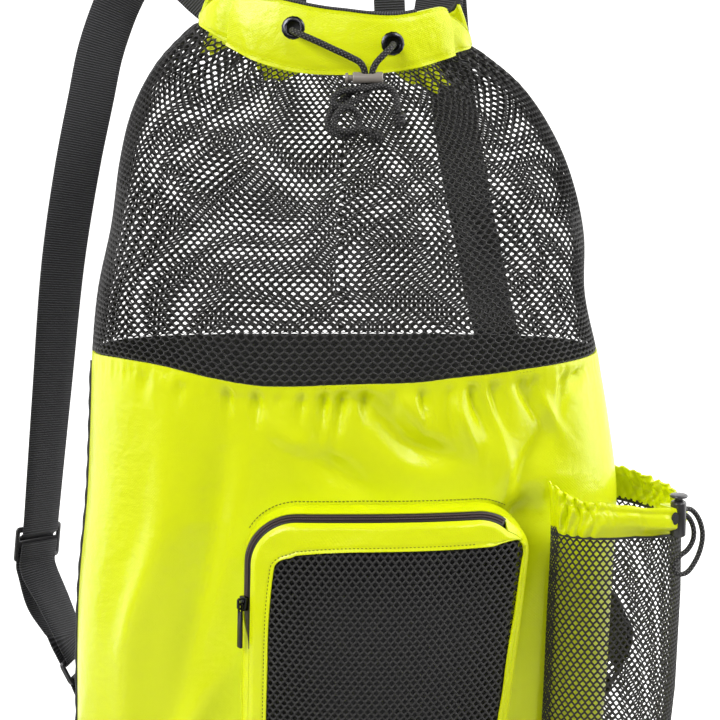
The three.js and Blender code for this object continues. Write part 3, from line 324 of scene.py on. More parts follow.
def crease_shape(z, turned, low, high, low_angle, high_angle, width, deep):
    share = np.clip((z - low) / (high - low), 0, 1)
    off = (turned - low_angle - (high_angle - low_angle) * share) / width
    return deep * np.exp(-off * off) * np.sin(np.pi * share) ** 0.7


def crease_depth(z, angle):
    turned = (np.degrees(angle) + 720) % 360
    depth = np.zeros_like(z)
    for crease in CREASES:
        depth += crease_shape(z, turned, *crease)
    near = ease(MOUTH_SEAM - GATHER_REACH, MOUTH_SEAM, z) * (z <= MOUTH_SEAM)
    return depth + GATHER_DEPTH * near * (1 + np.cos(GATHER_COUNT * angle)) * (1 - near)


def bag_point(z, angle, inset):
    section = section_at(SECTIONS, z)
    x, y = plan_point(section, angle, inset + crease_depth(z, angle))
    return np.stack([x, y, z + section[4] * mouth_rise(angle)], -1)


def collar_point(z, angle, inset):
    section = section_at(COLLAR_SECTIONS, z)
    x, y = plan_point(section, angle, inset + crease_depth(z, angle))
    tilt = COLLAR_TILT * x * ease(MOUTH_SEAM, COLLAR_TOP, z)
    return np.stack([x, y, z + section[4] * mouth_rise(angle) - tilt], -1)


def collar_lap(z, angle):
    """Inset that turns the two soft creases into laps, where the front panel lies over the side folds."""
    turned = np.degrees(angle) % 360
    lap = np.zeros_like(z)
    for (fold, step), crease in zip(COLLAR_LAPS, CREASES):
        behind = fold - turned if fold < FRONT_ANGLE else turned - fold
        lap -= crease_shape(z, turned, *crease)
        lap += step * ease(-0.7, 0.7, behind) * np.exp(-((np.maximum(behind, 0) / 10) ** 2))
    return lap


def collar_top(angle):
    """Height of the rim, which falls to a point at both ends of the mouth."""
    side = np.sin(angle)
    reach = np.where(side < 0, math.radians(40), math.radians(14))
    fall = np.clip(np.arcsin(np.abs(side)) / reach, 0, 1)
    rim = MOUTH_SEAM + CORNER_HIGH + (COLLAR_TOP - MOUTH_SEAM - CORNER_HIGH) * fall**2 * (3 - 2 * fall)
    turned = np.degrees(angle) % 360
    rim += 3 * np.exp(-(((turned - 246) / 14) ** 2)) - 4.5 * np.exp(-(((turned - 291) / 20) ** 2))
    return rim - BACK_DIP * ease(0.1, 0.6, side)


def bag_front(x, z):
    left, right, front = section_at(SECTIONS, z)[:3]
    share = 1 - np.abs(x / np.where(x < 0, left, right)) ** FRONT_ROUNDNESS
    return -front * np.maximum(share, 0) ** (1 / FRONT_ROUNDNESS)


def cloth_fold(x, z):
    height = np.zeros_like(x)
    for fold_x, fold_z, turn, long, wide, high in CLOTH_FOLDS:
        c, s = math.cos(math.radians(turn)), math.sin(math.radians(turn))
        along = ((x - fold_x) * c + (z - fold_z) * s) / long
        across = ((z - fold_z) * c - (x - fold_x) * s) / wide
        height += FOLD_DEPTH * high * np.exp(-(along**2) - across**2)
    return height


def cloth_front(x, z):
    """Depth of the bright cloth's face at a place on the bag's front."""
    left, right = section_at(SECTIONS, z)[:2]
    side = np.clip(np.abs(x / np.where(x < 0, left, right)), 0, 1) ** (FRONT_ROUNDNESS / 2)
    angle = 2 * np.pi - np.arccos(np.sign(x) * side)
    return bag_front(x, z) + crease_depth(z, angle) - cloth_fold(x, z)


def hem_height(angle):
    """Top of the bright cloth, whose sewn edge sags in the middle of the front."""
    return section_at(HEM_LINE, np.degrees(angle))[0]


def even_angles(z, first, last):
    """Angle at each share of the way round a section, with even steps on the cloth."""
    angle = np.linspace(first, last, 1500)
    points = bag_point(np.full_like(angle, z), angle, 0.0)
    walked = walked_along(points)
    return lambda share: np.interp(share, walked / walked[-1], angle), walked[-1]


def even_heights(angle, first, last):
    """Height at each share of the way up the wall at one plan angle."""
    z = np.linspace(first, last, 800)
    points = bag_point(z, np.full_like(z, angle), 0.0)
    walked = walked_along(points)
    return lambda share: np.interp(share, walked / walked[-1], z), walked[-1]


# Small tools for meshes


def no_selection():
    if bpy.context.object and bpy.context.object.mode != "OBJECT":
        bpy.ops.object.mode_set(mode="OBJECT")
    bpy.ops.object.select_all(action="DESELECT")


def choose(obj):
    no_selection()
    obj.select_set(True)
    bpy.context.view_layer.objects.active = obj


def edit_steps(obj, *steps):
    """Run steps in edit mode on all of an object's mesh, each an operator and its settings."""
    choose(obj)
    bpy.ops.object.mode_set(mode="EDIT")
    bpy.ops.mesh.select_all(action="SELECT")
    for step, settings in steps:
        step(**settings)
    bpy.ops.object.mode_set(mode="OBJECT")


def raised(height):
    """The step that extrudes the chosen faces straight up."""
    return bpy.ops.mesh.extrude_region_move, {"TRANSFORM_OT_translate": {"value": (0, 0, height)}}


def close_ends(obj, *steps):
    """Fill the open ends of a swept mesh and turn its faces outwards."""
    edit_steps(
        obj,
        *steps,
        (bpy.ops.mesh.select_all, {"action": "DESELECT"}),
        (bpy.ops.mesh.select_non_manifold, {}),
        (bpy.ops.mesh.fill_holes, {"sides": 0}),
        (bpy.ops.mesh.select_all, {"action": "SELECT"}),
        (bpy.ops.mesh.normals_make_consistent, {"inside": False}),
    )
    return obj


def apply_modifier(obj, kind, **settings):
    choose(obj)
    modifier = obj.modifiers.new(kind.title(), kind)
    for key, value in settings.items():
        setattr(modifier, key, value)
    bpy.ops.object.modifier_apply(modifier=modifier.name)


def finish_piece(obj, material, nodes=(), body=BODY, smooth=40):
    choose(obj)
    obj.data.materials.clear()
    obj.data.materials.append(material)
    bpy.ops.object.shade_smooth_by_angle(angle=math.radians(smooth))
    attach(obj, body)
    if nodes:
        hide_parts(*nodes)


def disc(name, sides, radius):
    """A flat round face with its middle at the origin."""
    no_selection()
    bpy.ops.mesh.primitive_circle_add(vertices=sides, radius=radius, fill_type="NGON")
    obj = bpy.context.object
    obj.name = obj.data.name = name
    return obj


def mesh_from(name, points, faces, uv=None):
    """An object from points in millimetres and faces of one size, with a uv map in millimetres."""
    mesh = bpy.data.meshes.new(name)
    mesh.from_pydata((np.asarray(points) * MM).tolist(), [], np.asarray(faces).tolist())
    if uv is not None:
        layer = mesh.uv_layers.new(name="thread")
        layer.data.foreach_set("uv", np.asarray(uv)[np.asarray(faces).ravel()].astype(np.float32).ravel())
    mesh.validate()
    obj = bpy.data.objects.new(name, mesh)
    bpy.context.scene.collection.objects.link(obj)
    return obj


def cloth_sheet(name, columns, rows, surface, flat, thick, weld=False):
    """A grid laid on a surface given by two shares, thick on its inner side, with its flat size as its uv."""
    no_selection()
    bpy.ops.mesh.primitive_grid_add(x_subdivisions=columns, y_subdivisions=rows, size=1)
    obj = bpy.context.object
    obj.name = obj.data.name = name
    mesh = obj.data
    co = np.zeros(len(mesh.vertices) * 3, np.float32)
    mesh.vertices.foreach_get("co", co)
    shares = np.clip(co.reshape(-1, 3)[:, :2].astype(float) + 0.5, 0, 1)
    points = surface(shares[:, 0], shares[:, 1]) * MM
    mesh.vertices.foreach_set("co", points.astype(np.float32).ravel())
    layer = mesh.uv_layers.active
    layer.name = "thread"
    uv = np.zeros(len(mesh.loops) * 2, np.float32)
    layer.data.foreach_get("uv", uv)
    layer.data.foreach_set("uv", (uv.reshape(-1, 2) * np.array(flat, np.float32)).ravel())
    mesh.update()
    if weld:
        edit_steps(obj, (bpy.ops.mesh.remove_doubles, {"threshold": 0.00005}))
    apply_modifier(obj, "SOLIDIFY", thickness=thick * MM, offset=-1)
    return obj


def join_pieces(name, pieces):
    no_selection()
    for piece in pieces:
        piece.select_set(True)
    bpy.context.view_layer.objects.active = pieces[0]
    bpy.ops.object.join()
    pieces[0].name = pieces[0].data.name = name
    return pieces[0]


def smooth_path(points, spacing):
    """Points every spacing mm along a centripetal curve through given points."""
    points = np.asarray(points, float)
    ends = np.vstack([2 * points[0] - points[1], points, 2 * points[-1] - points[-2]])
    t = np.linspace(0, 1, 24, endpoint=False)[:, None]
    pieces = []
    for a, b, c, d in zip(ends, ends[1:], ends[2:], ends[3:]):
        one, two, three = (max(np.linalg.norm(q - p) ** 0.5, 1e-4) for p, q in ((a, b), (b, c), (c, d)))
        leave = ((b - a) / one - (c - a) / (one + two) + (c - b) / two) * two
        arrive = ((c - b) / two - (d - b) / (two + three) + (d - c) / three) * two
        square = -3 * b + 3 * c - 2 * leave - arrive
        cube = 2 * b - 2 * c + leave + arrive
        pieces.append(b + leave * t + square * t**2 + cube * t**3)
    dense = np.vstack(pieces + [points[-1:]])
    walked = walked_along(dense)
    even = np.linspace(0, walked[-1], max(2, int(round(walked[-1] / spacing)) + 1))
    return at_lengths(even, walked, dense)


def sweep_frames(points):
    """Two directions across a line at each of its points, carried along it without twist."""
    along = unit(np.gradient(points, axis=0))
    across = np.zeros_like(points)
    start = np.cross(along[0], (0, 0, 1))
    if np.linalg.norm(start) < 0.2:
        start = np.cross(along[0], (1, 0, 0))
    across[0] = unit(start)
    for i in range(1, len(points)):
        across[i] = unit(across[i - 1] - along[i] * (across[i - 1] @ along[i]))
    return across, np.cross(along, across)


def cord_tube(name, points, diameter, sides=12):
    """A round cord along points, with closed ends."""
    across, up = sweep_frames(points)
    turn = np.linspace(0, 2 * np.pi, sides + 1)
    ring = np.cos(turn)[None, :, None] * across[:, None] + np.sin(turn)[None, :, None] * up[:, None]
    tube = points[:, None] + ring * diameter / 2
    walked = walked_along(points)
    uv = np.stack(np.broadcast_arrays(turn[None] * diameter / 2, walked[:, None]), -1)
    count = len(points)
    i, j = np.meshgrid(np.arange(count - 1), np.arange(sides), indexing="ij")
    first = (i * (sides + 1) + j).ravel()
    quads = np.stack([first, first + 1, first + sides + 2, first + sides + 1], -1)
    obj = mesh_from(name, tube.reshape(-1, 3), quads, uv.reshape(-1, 2))
    return close_ends(obj, (bpy.ops.mesh.remove_doubles, {"threshold": 0.00001}))


def webbing_strip(name, points, faces, wide, thick):
    """A woven strip along points, its faces looking the given ways, with rounded edges."""
    along = unit(np.gradient(points, axis=0))
    across = unit(np.cross(along, faces))
    face = np.cross(across, along)
    half, edge = wide / 2, thick / 2
    side = [(half, 0.0), (half - 0.25, 0.62), (half - 0.9, 1.0), (half * 0.5, 1.0), (0.0, 1.0)]
    upper = side + [(-w, t) for w, t in side[-2::-1]]
    outline = np.array(upper + [(w, -t) for w, t in upper[-2:0:-1]])
    ring = outline[None, :, :1] * across[:, None] + outline[None, :, 1:] * edge * face[:, None]
    solid = points[:, None] + ring
    walked = walked_along(points)
    uv = np.stack(np.broadcast_arrays(outline[None, :, 0], walked[:, None]), -1)
    count, sides = len(points), len(outline)
    i, j = np.meshgrid(np.arange(count - 1), np.arange(sides), indexing="ij")
    first, after = i * sides + j, i * sides + (j + 1) % sides
    quads = np.stack([first, after, after + sides, first + sides], -1).reshape(-1, 4)
    return close_ends(mesh_from(name, solid.reshape(-1, 3), quads, uv.reshape(-1, 2)))


def stitch_row(name, points, faces, pitch, thick=0.55, share=0.68):
    """Thread stitches along a line, each a small six-sided loaf that dips into the cloth at both ends."""
    walked = walked_along(points)
    count = max(1, int(walked[-1] / pitch))
    starts = (np.arange(count) + 0.5) * walked[-1] / count
    at = at_lengths(starts, walked, points)
    look = unit(at_lengths(starts, walked, faces))
    half = pitch * share / 2
    ahead = at_lengths(np.minimum(starts + half, walked[-1]), walked, points)
    along = unit(ahead - at_lengths(np.maximum(starts - half, 0), walked, points))
    across = unit(np.cross(along, look))
    stations = ((-1.0, -0.5, 0.6), (-0.6, 0.12, 1.0), (0.0, 0.3, 1.0), (0.6, 0.12, 1.0), (1.0, -0.5, 0.6))
    turn = np.arange(6) / 6 * 2 * np.pi
    rings = []
    for far, high, fat in stations:
        middle = at + along * far * half + look * high * thick
        for angle in turn:
            spoke = across * math.cos(angle) + look * math.sin(angle) * 0.8
            rings.append(middle + spoke * thick * 0.5 * fat)
    solid = np.stack(rings, 1)
    each = solid.shape[1]
    quads = [
        (r * 6 + k, r * 6 + (k + 1) % 6, (r + 1) * 6 + (k + 1) % 6, (r + 1) * 6 + k)
        for r in range(len(stations) - 1)
        for k in range(6)
    ]
    last = (len(stations) - 1) * 6
    quads += [(0, 3, 2, 1), (0, 5, 4, 3)]
    quads += [(last, last + 1, last + 2, last + 3), (last, last + 3, last + 4, last + 5)]
    every = (np.arange(count)[:, None, None] * each + np.array(quads)[None]).reshape(-1, 4)
    return mesh_from(name, solid.reshape(-1, 3), every)


def inside_border(x, y, border):
    """Which places lie inside a closed border."""
    within = np.zeros(len(x), bool)
    for (ax, ay), (bx, by) in zip(border, np.roll(border, -1, axis=0)):
        cross = (ay > y) != (by > y)
        within ^= cross & (x < (bx - ax) * (y - ay) / (by - ay + 1e-12) + ax)
    return within


def net_sheet(name, surface, wide, high, pitch, row, thread, point, border=None):
    """Knitted net with six-sided cells over a surface given in mm, inside a border if one is given."""
    point_high, side_high = row * point, row * (1 - point)
    rows, columns = int(high / row) + 1, int(wide / pitch) + 1
    j, i = np.meshgrid(np.arange(rows), np.arange(columns), indexing="ij")
    i, j = i.ravel(), j.ravel()
    centre = np.stack([(i + (j % 2) * 0.5) * pitch, (j + 0.5) * row], -1)
    keep = (centre[:, 0] < wide) & (centre[:, 1] < high)
    if border is not None:
        keep &= inside_border(centre[:, 0], centre[:, 1], border)
    i, j, centre = i[keep], j[keep], centre[keep]
    corner = ((0, 1), (1, 1), (1, -1), (0, -1), (-1, -1), (-1, 1))
    reach = [(over * pitch / 2, sign * (side_high if over else point_high)) for over, sign in corner]
    spread = np.stack([centre + np.array(step) for step in reach], 1)
    keys = np.round(spread / np.array([pitch / 2, row * 0.05])).astype(int).reshape(-1, 2)
    _, first, index, uses = np.unique(
        keys, axis=0, return_index=True, return_inverse=True, return_counts=True
    )
    index = index.reshape(-1, 6)
    ridge = spread.reshape(-1, 2)[first]
    shrink = 1 - thread / (0.88 * pitch)
    hole = centre[:, None] + (spread - centre[:, None]) * shrink

    def placed(flat, lift):
        flat = np.clip(flat, 0, (wide, high))
        x, y = flat[:, 0], flat[:, 1]
        step = 0.4
        base = surface(x, y)
        right = surface(np.minimum(x + step, wide), y) - surface(np.maximum(x - step, 0), y)
        above = surface(x, np.minimum(y + step, high)) - surface(x, np.maximum(y - step, 0))
        return base + unit(np.cross(right, above)) * np.asarray(lift)[:, None]

    lift = np.where(uses < 3, 0.02, thread * 0.5)
    upper, lower = placed(ridge, lift), placed(ridge, -lift)
    rim = placed(hole.reshape(-1, 2), np.zeros(hole.shape[0] * 6))
    count = len(ridge)
    holes = 2 * count + np.arange(len(centre) * 6).reshape(-1, 6)
    quads = []
    for k in range(6):
        n = (k + 1) % 6
        quads.append(np.stack([index[:, n], index[:, k], holes[:, k], holes[:, n]], -1))
        quads.append(np.stack([index[:, k] + count, index[:, n] + count, holes[:, n], holes[:, k]], -1))
    return mesh_from(name, np.vstack([upper, lower, rim]), np.vstack(quads))


def hard_piece(name, material, width, segments=2, body=BODY):
    """A hard piece of the frame with its triangles merged and its edges rounded."""
    obj = bpy.data.objects.new(name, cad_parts[name].data.copy())
    bpy.context.scene.collection.objects.link(obj)
    edit_steps(
        obj,
        (bpy.ops.mesh.remove_doubles, {"threshold": 0.00002}),
        (bpy.ops.mesh.dissolve_limited, {"angle_limit": math.radians(2)}),
    )
    apply_modifier(
        obj,
        "BEVEL",
        width=width * MM,
        segments=segments,
        limit_method="ANGLE",
        angle_limit=math.radians(35),
        use_clamp_overlap=True,
    )
    finish_piece(obj, material, [name], body)


# Materials

# Scale at which a wave texture's bands are one unit of its vector apart
WAVE_MM = math.pi / 10


def linear(hex_colour):
    channels = [int(hex_colour[k : k + 2], 16) / 255 for k in (0, 2, 4)]
    return [c / 12.92 if c <= 0.04045 else ((c + 0.055) / 1.055) ** 2.4 for c in channels] + [1.0]


def add_node(tree, kind, inputs=None, **settings):
    made = tree.nodes.new(kind)
    for key, value in settings.items():
        setattr(made, key, value)
    for key, value in (inputs or {}).items():
        if isinstance(value, bpy.types.NodeSocket):
            tree.links.new(value, made.inputs[key])
        else:
            made.inputs[key].default_value = value
    return made


def new_material(name):
    found = bpy.data.materials.get(name)
    if found:
        return found, None, None
    material = bpy.data.materials.new(name)
    material.use_nodes = True
    tree = material.node_tree
    return material, tree, tree.nodes["Principled BSDF"]


def shaded(tree, shader, base, dark, light, mask, roughness, height, distance, strength=1.0):
    """Colour between a dark and a light tone of a base by a mask, and bump from a height in millimetres."""
    tone = linear(base)
    ramp = add_node(tree, "ShaderNodeMix", {"Factor": mask}, data_type="RGBA")
    ramp.inputs["A"].default_value = [c * dark for c in tone[:3]] + [1]
    ramp.inputs["B"].default_value = [min(1, c * light) for c in tone[:3]] + [1]
    bump = add_node(
        tree, "ShaderNodeBump", {"Height": height, "Strength": strength, "Distance": distance * MM}
    )
    tree.links.new(ramp.outputs["Result"], shader.inputs["Base Color"])
    tree.links.new(bump.outputs["Normal"], shader.inputs["Normal"])
    shader.inputs["Roughness"].default_value = roughness


def coated_polyester():
    # Coated polyester cloth, woven and calendered: a smooth bright face with fine crinkles and a soft sheen.
    material, tree, shader = new_material("coated_polyester_cloth")
    if tree is None:
        return material
    place = add_node(tree, "ShaderNodeTexCoord").outputs["Object"]
    thread = add_node(tree, "ShaderNodeUVMap", uv_map="thread").outputs["UV"]
    # Crinkles about 14 mm apart, and a tone that drifts over about 60 mm.
    crinkle = add_node(
        tree, "ShaderNodeTexNoise", {"Vector": place, "Scale": 1 / 0.014, "Detail": 4.0, "Roughness": 0.55}
    )
    drift = add_node(tree, "ShaderNodeTexNoise", {"Vector": place, "Scale": 1 / 0.06, "Detail": 2.0})
    # Threads are 0.3 mm apart in the cloth and drawn 1.2 mm apart so that they show.
    spread = add_node(tree, "ShaderNodeMapping", {"Vector": thread, "Scale": (1 / 1.2, 1 / 1.2, 1)})
    weave = add_node(tree, "ShaderNodeTexChecker", {"Vector": spread.outputs["Vector"], "Scale": 1.0})
    height = add_node(
        tree,
        "ShaderNodeMath",
        {0: weave.outputs["Fac"], 1: 0.06, 2: crinkle.outputs["Fac"]},
        operation="MULTIPLY_ADD",
    )
    shaded(tree, shader, colours().cloth, 0.93, 1.03, drift.outputs["Fac"], 0.28, height.outputs[0], 1.0)
    shader.inputs["Specular IOR Level"].default_value = 0.48
    return material


def knitted_net():
    # Warp-knitted polyester net: dull twisted threads, a little lighter where they are rubbed.
    material, tree, shader = new_material("knitted_polyester_net")
    if tree is None:
        return material
    place = add_node(tree, "ShaderNodeTexCoord").outputs["Object"]
    twist = add_node(tree, "ShaderNodeTexNoise", {"Vector": place, "Scale": 1 / 0.0012, "Detail": 2.0})
    drift = add_node(tree, "ShaderNodeTexNoise", {"Vector": place, "Scale": 1 / 0.03})
    shaded(tree, shader, colours().net, 0.75, 1.5, drift.outputs["Fac"], 0.62, twist.outputs["Fac"], 0.25)
    shader.inputs["Sheen Weight"].default_value = 0.15
    return material


def plain_weave():
    # Plain woven polyester: matt, with threads drawn 1.2 mm apart so that they show.
    material, tree, shader = new_material("plain_woven_polyester")
    if tree is None:
        return material
    place = add_node(tree, "ShaderNodeTexCoord").outputs["Object"]
    weave = add_node(tree, "ShaderNodeTexChecker", {"Vector": place, "Scale": 1 / 0.0012})
    drift = add_node(tree, "ShaderNodeTexNoise", {"Vector": place, "Scale": 1 / 0.04, "Detail": 3.0})
    tone, height = drift.outputs["Fac"], weave.outputs["Fac"]
    shaded(tree, shader, colours().dark_cloth, 0.8, 1.25, tone, 0.8, height, 0.12)
    shader.inputs["Sheen Weight"].default_value = 0.2
    return material


def ribbed_webbing():
    # Woven polypropylene webbing: cross ribs, near black between them, with random pale flecks that fall only
    # on the rib crests: painted shade in the grooves and painted highlight on the crests.
    # Ribs are 1.2 mm apart in the webbing and drawn 2 mm apart so that they show.
    material, tree, shader = new_material("woven_polypropylene_webbing")
    if tree is None:
        return material
    thread = add_node(tree, "ShaderNodeUVMap", uv_map="thread").outputs["UV"]
    waver = {"Distortion": 0.5, "Detail": 1.0, "Detail Scale": 3.0}
    ribs = add_node(
        tree,
        "ShaderNodeTexWave",
        {"Vector": thread, "Scale": WAVE_MM / 2.0, **waver},
        bands_direction="Y",
    )
    flecks = add_node(tree, "ShaderNodeTexNoise", {"Vector": thread, "Scale": 1 / 0.9, "Detail": 2.0})
    sharp = add_node(tree, "ShaderNodeMath", {0: ribs.outputs["Fac"], 1: 3.0}, operation="POWER")
    # Colour mask: rib crests times random flecks, so the crests get painted highlight and the grooves painted
    # shade
    painted_crest_light = add_node(
        tree, "ShaderNodeMath", {0: sharp.outputs[0], 1: flecks.outputs["Fac"]}, operation="MULTIPLY"
    )
    shaded(tree, shader, colours().webbing, 0.05, 5.4, painted_crest_light.outputs[0], 0.6, ribs.outputs["Fac"], 0.4)
    shader.inputs["Sheen Weight"].default_value = 0.1
    return material


def braided_cord():
    # Braided polyester cord: two sets of plaits crossing round it, 2.2 mm apart along the cord. Its colour is
    # near black between the plaits and pale where they cross: painted shade and painted highlight of the
    # braid.
    material, tree, shader = new_material("braided_polyester_cord")
    if tree is None:
        return material
    thread = add_node(tree, "ShaderNodeUVMap", uv_map="thread").outputs["UV"]
    turned = add_node(
        tree, "ShaderNodeMapping", {"Vector": thread, "Rotation": (0, 0, math.radians(45))}
    ).outputs["Vector"]
    plaits = {"Vector": turned, "Scale": WAVE_MM / 2.2}
    one = add_node(tree, "ShaderNodeTexWave", plaits, bands_direction="X")
    two = add_node(tree, "ShaderNodeTexWave", plaits, bands_direction="Y")
    braid = add_node(
        tree, "ShaderNodeMath", {0: one.outputs["Fac"], 1: two.outputs["Fac"]}, operation="MULTIPLY"
    )
    # Painted highlight where the plaits cross and painted shade between them
    painted_crest_light = add_node(tree, "ShaderNodeMath", {0: braid.outputs[0], 1: 3.0}, operation="POWER")
    shaded(tree, shader, colours().cord, 0.12, 22.0, painted_crest_light.outputs[0], 0.55, braid.outputs[0], 0.8)
    shader.inputs["Sheen Weight"].default_value = 0.05
    return material


def moulded_acetal(shade):
    # Moulded acetal: an even colour with a fine spark-eroded grain and a soft gloss.
    material, tree, shader = new_material("moulded_acetal_" + shade)
    if tree is None:
        return material
    place = add_node(tree, "ShaderNodeTexCoord").outputs["Object"]
    grain = add_node(tree, "ShaderNodeTexNoise", {"Vector": place, "Scale": 1 / 0.0008, "Detail": 2.0})
    drift = add_node(tree, "ShaderNodeTexNoise", {"Vector": place, "Scale": 1 / 0.01})
    tone, height = drift.outputs["Fac"], grain.outputs["Fac"]
    shaded(tree, shader, getattr(colours(), shade), 0.85, 1.15, tone, 0.22, height, 0.04)
    shader.inputs["Specular IOR Level"].default_value = 0.7
    return material


def plated_steel(shade):
    # Black nickel plating on pressed steel: dark, smooth and mirror-like with faint rub marks.
    material, tree, shader = new_material("black_nickel_" + shade)
    if tree is None:
        return material
    place = add_node(tree, "ShaderNodeTexCoord").outputs["Object"]
    noise = add_node(tree, "ShaderNodeTexNoise", {"Vector": place, "Scale": 1 / 0.002, "Detail": 3.0})
    rub = noise.outputs["Fac"]
    shaded(tree, shader, getattr(colours(), shade), 0.8, 1.3, rub, 0.24, rub, 0.03)
    shader.inputs["Metallic"].default_value = 1.0
    return material


def zip_nylon(part):
    # Nylon zip: brown black woven tape and a paler, slightly glossy coil.
    material, tree, shader = new_material("nylon_" + part)
    if tree is None:
        return material
    place = add_node(tree, "ShaderNodeTexCoord").outputs["Object"]
    noise = add_node(tree, "ShaderNodeTexNoise", {"Vector": place, "Scale": 1 / 0.0009, "Detail": 2.0})
    weave = noise.outputs["Fac"]
    shaded(tree, shader, getattr(colours(), part), 0.7, 1.4, weave, 0.5, weave, 0.2)
    return material


def thread_in_painted_shade():
    # Spun polyester thread of the cloth's own colour, drawn far darker than the cloth all along its length:
    # painted shade of the groove and needle holes that it sinks into.
    material, tree, shader = new_material("spun_thread_in_painted_shade")
    if tree is None:
        return material
    place = add_node(tree, "ShaderNodeTexCoord").outputs["Object"]
    twist = add_node(tree, "ShaderNodeTexNoise", {"Vector": place, "Scale": 1 / 0.0006, "Detail": 1.0})
    shaded(tree, shader, colours().cloth, 0.06, 0.22, twist.outputs["Fac"], 0.6, twist.outputs["Fac"], 0.1)
    return material


# Bag walls


class BACKPACK_OT_lower_cloth(bpy.types.Operator):
    """Bright cloth round the front and sides, with its hem and stitches"""

    bl_idname = "backpack.lower_cloth"
    bl_label = "Lower cloth"

    def execute(self, context):
        angle_at, wide = even_angles(CLOTH_LEVEL, SEAM_LEFT + SEAM_ROOM, SEAM_RIGHT - SEAM_ROOM)

        def surface(u, v, inset=0.0):
            angle = angle_at(u)
            top = hem_height(angle)
            z = v * top
            points = bag_point(z, angle, 0.0)
            fold = cloth_fold(points[:, 0], points[:, 2]) * ease(0.02, 0.1, u) * ease(0.02, 0.1, 1 - u)
            below = top - z
            fold *= ease(0, 25, z) * ease(2, 14, below)
            pucker = 0.45 * np.sin(angle * 83) * np.sin(angle * 31 + 1) * np.exp(-(((below - 9) / 8) ** 2))
            hem = 0.6 * ease(7, 5, below) - 0.8 * np.exp(-(((below - HEM_STITCH) / 0.9) ** 2))
            section = section_at(SECTIONS, z)
            x, y = plan_point(section, angle, inset + crease_depth(z, angle) - fold - pucker - hem)
            return np.stack([x, y, z], -1)

        cloth = cloth_sheet("lower_front", 300, 130, surface, (wide, HEM_HEIGHT), CLOTH)
        finish_piece(cloth, coated_polyester(), ["lower_front"])
        u = np.linspace(0.004, 0.996, 900)
        line = surface(u, np.full_like(u, 1 - HEM_STITCH / HEM_HEIGHT), -0.15)
        look = unit(line * (1, 1, 0))
        stitches = stitch_row("hem_stitches", line, look, sizes().stitch / MM, 0.75)
        finish_piece(stitches, thread_in_painted_shade())
        return {"FINISHED"}


class BACKPACK_OT_back_cloth(bpy.types.Operator):
    """Dark cloth of the back and base, and the piping in the side seams"""

    bl_idname = "backpack.back_cloth"
    bl_label = "Back and base"

    def execute(self, context):
        angle_at, wide = even_angles(CLOTH_LEVEL, SIDE_SEAM + SEAM_ROOM, SEAM_LEFT - SEAM_ROOM)

        def surface(u, v):
            z, angle = v * HEM_HEIGHT, angle_at(u)
            quilt = 0.6 * np.sin(u * wide / 9) * np.sin(z / 17 + u * 5) * ease(0, 30, z)
            return bag_point(z, angle, -quilt * ease(0.02, 0.1, u) * ease(0.02, 0.1, 1 - u))

        back = cloth_sheet("back_panel", 140, 110, surface, (wide, HEM_HEIGHT), CLOTH)
        finish_piece(back, plain_weave(), ["back_panel"])

        base = disc("base_panel", 120, 1)
        co = np.zeros(len(base.data.vertices) * 3, np.float32)
        base.data.vertices.foreach_get("co", co)
        co = co.reshape(-1, 3)
        angle = np.arctan2(co[:, 1], co[:, 0]).astype(float)
        section = section_at(SECTIONS, np.zeros(len(angle)))
        x, y = plan_point(section, angle, CLOTH + 1.0)
        base.data.vertices.foreach_set("co", (np.stack([x, y, x * 0], -1) * MM).astype(np.float32).ravel())
        edit_steps(base, (bpy.ops.mesh.inset, {"thickness": 0.004}), raised(0.0006))
        apply_modifier(base, "SOLIDIFY", thickness=0.0014, offset=1)
        finish_piece(base, plain_weave(), ["base_panel"])

        for side, angle in (("left", SEAM_LEFT), ("right", SIDE_SEAM)):
            z = np.linspace(3, HEM_HEIGHT - 3, 140)
            line = bag_point(z, np.full_like(z, angle), 0.3 * np.sin(z / 3.1))
            piping = cord_tube("side_piping_" + side, line, PIPING_THICK)
            finish_piece(piping, plain_weave(), ["side_piping_" + side])
        return {"FINISHED"}


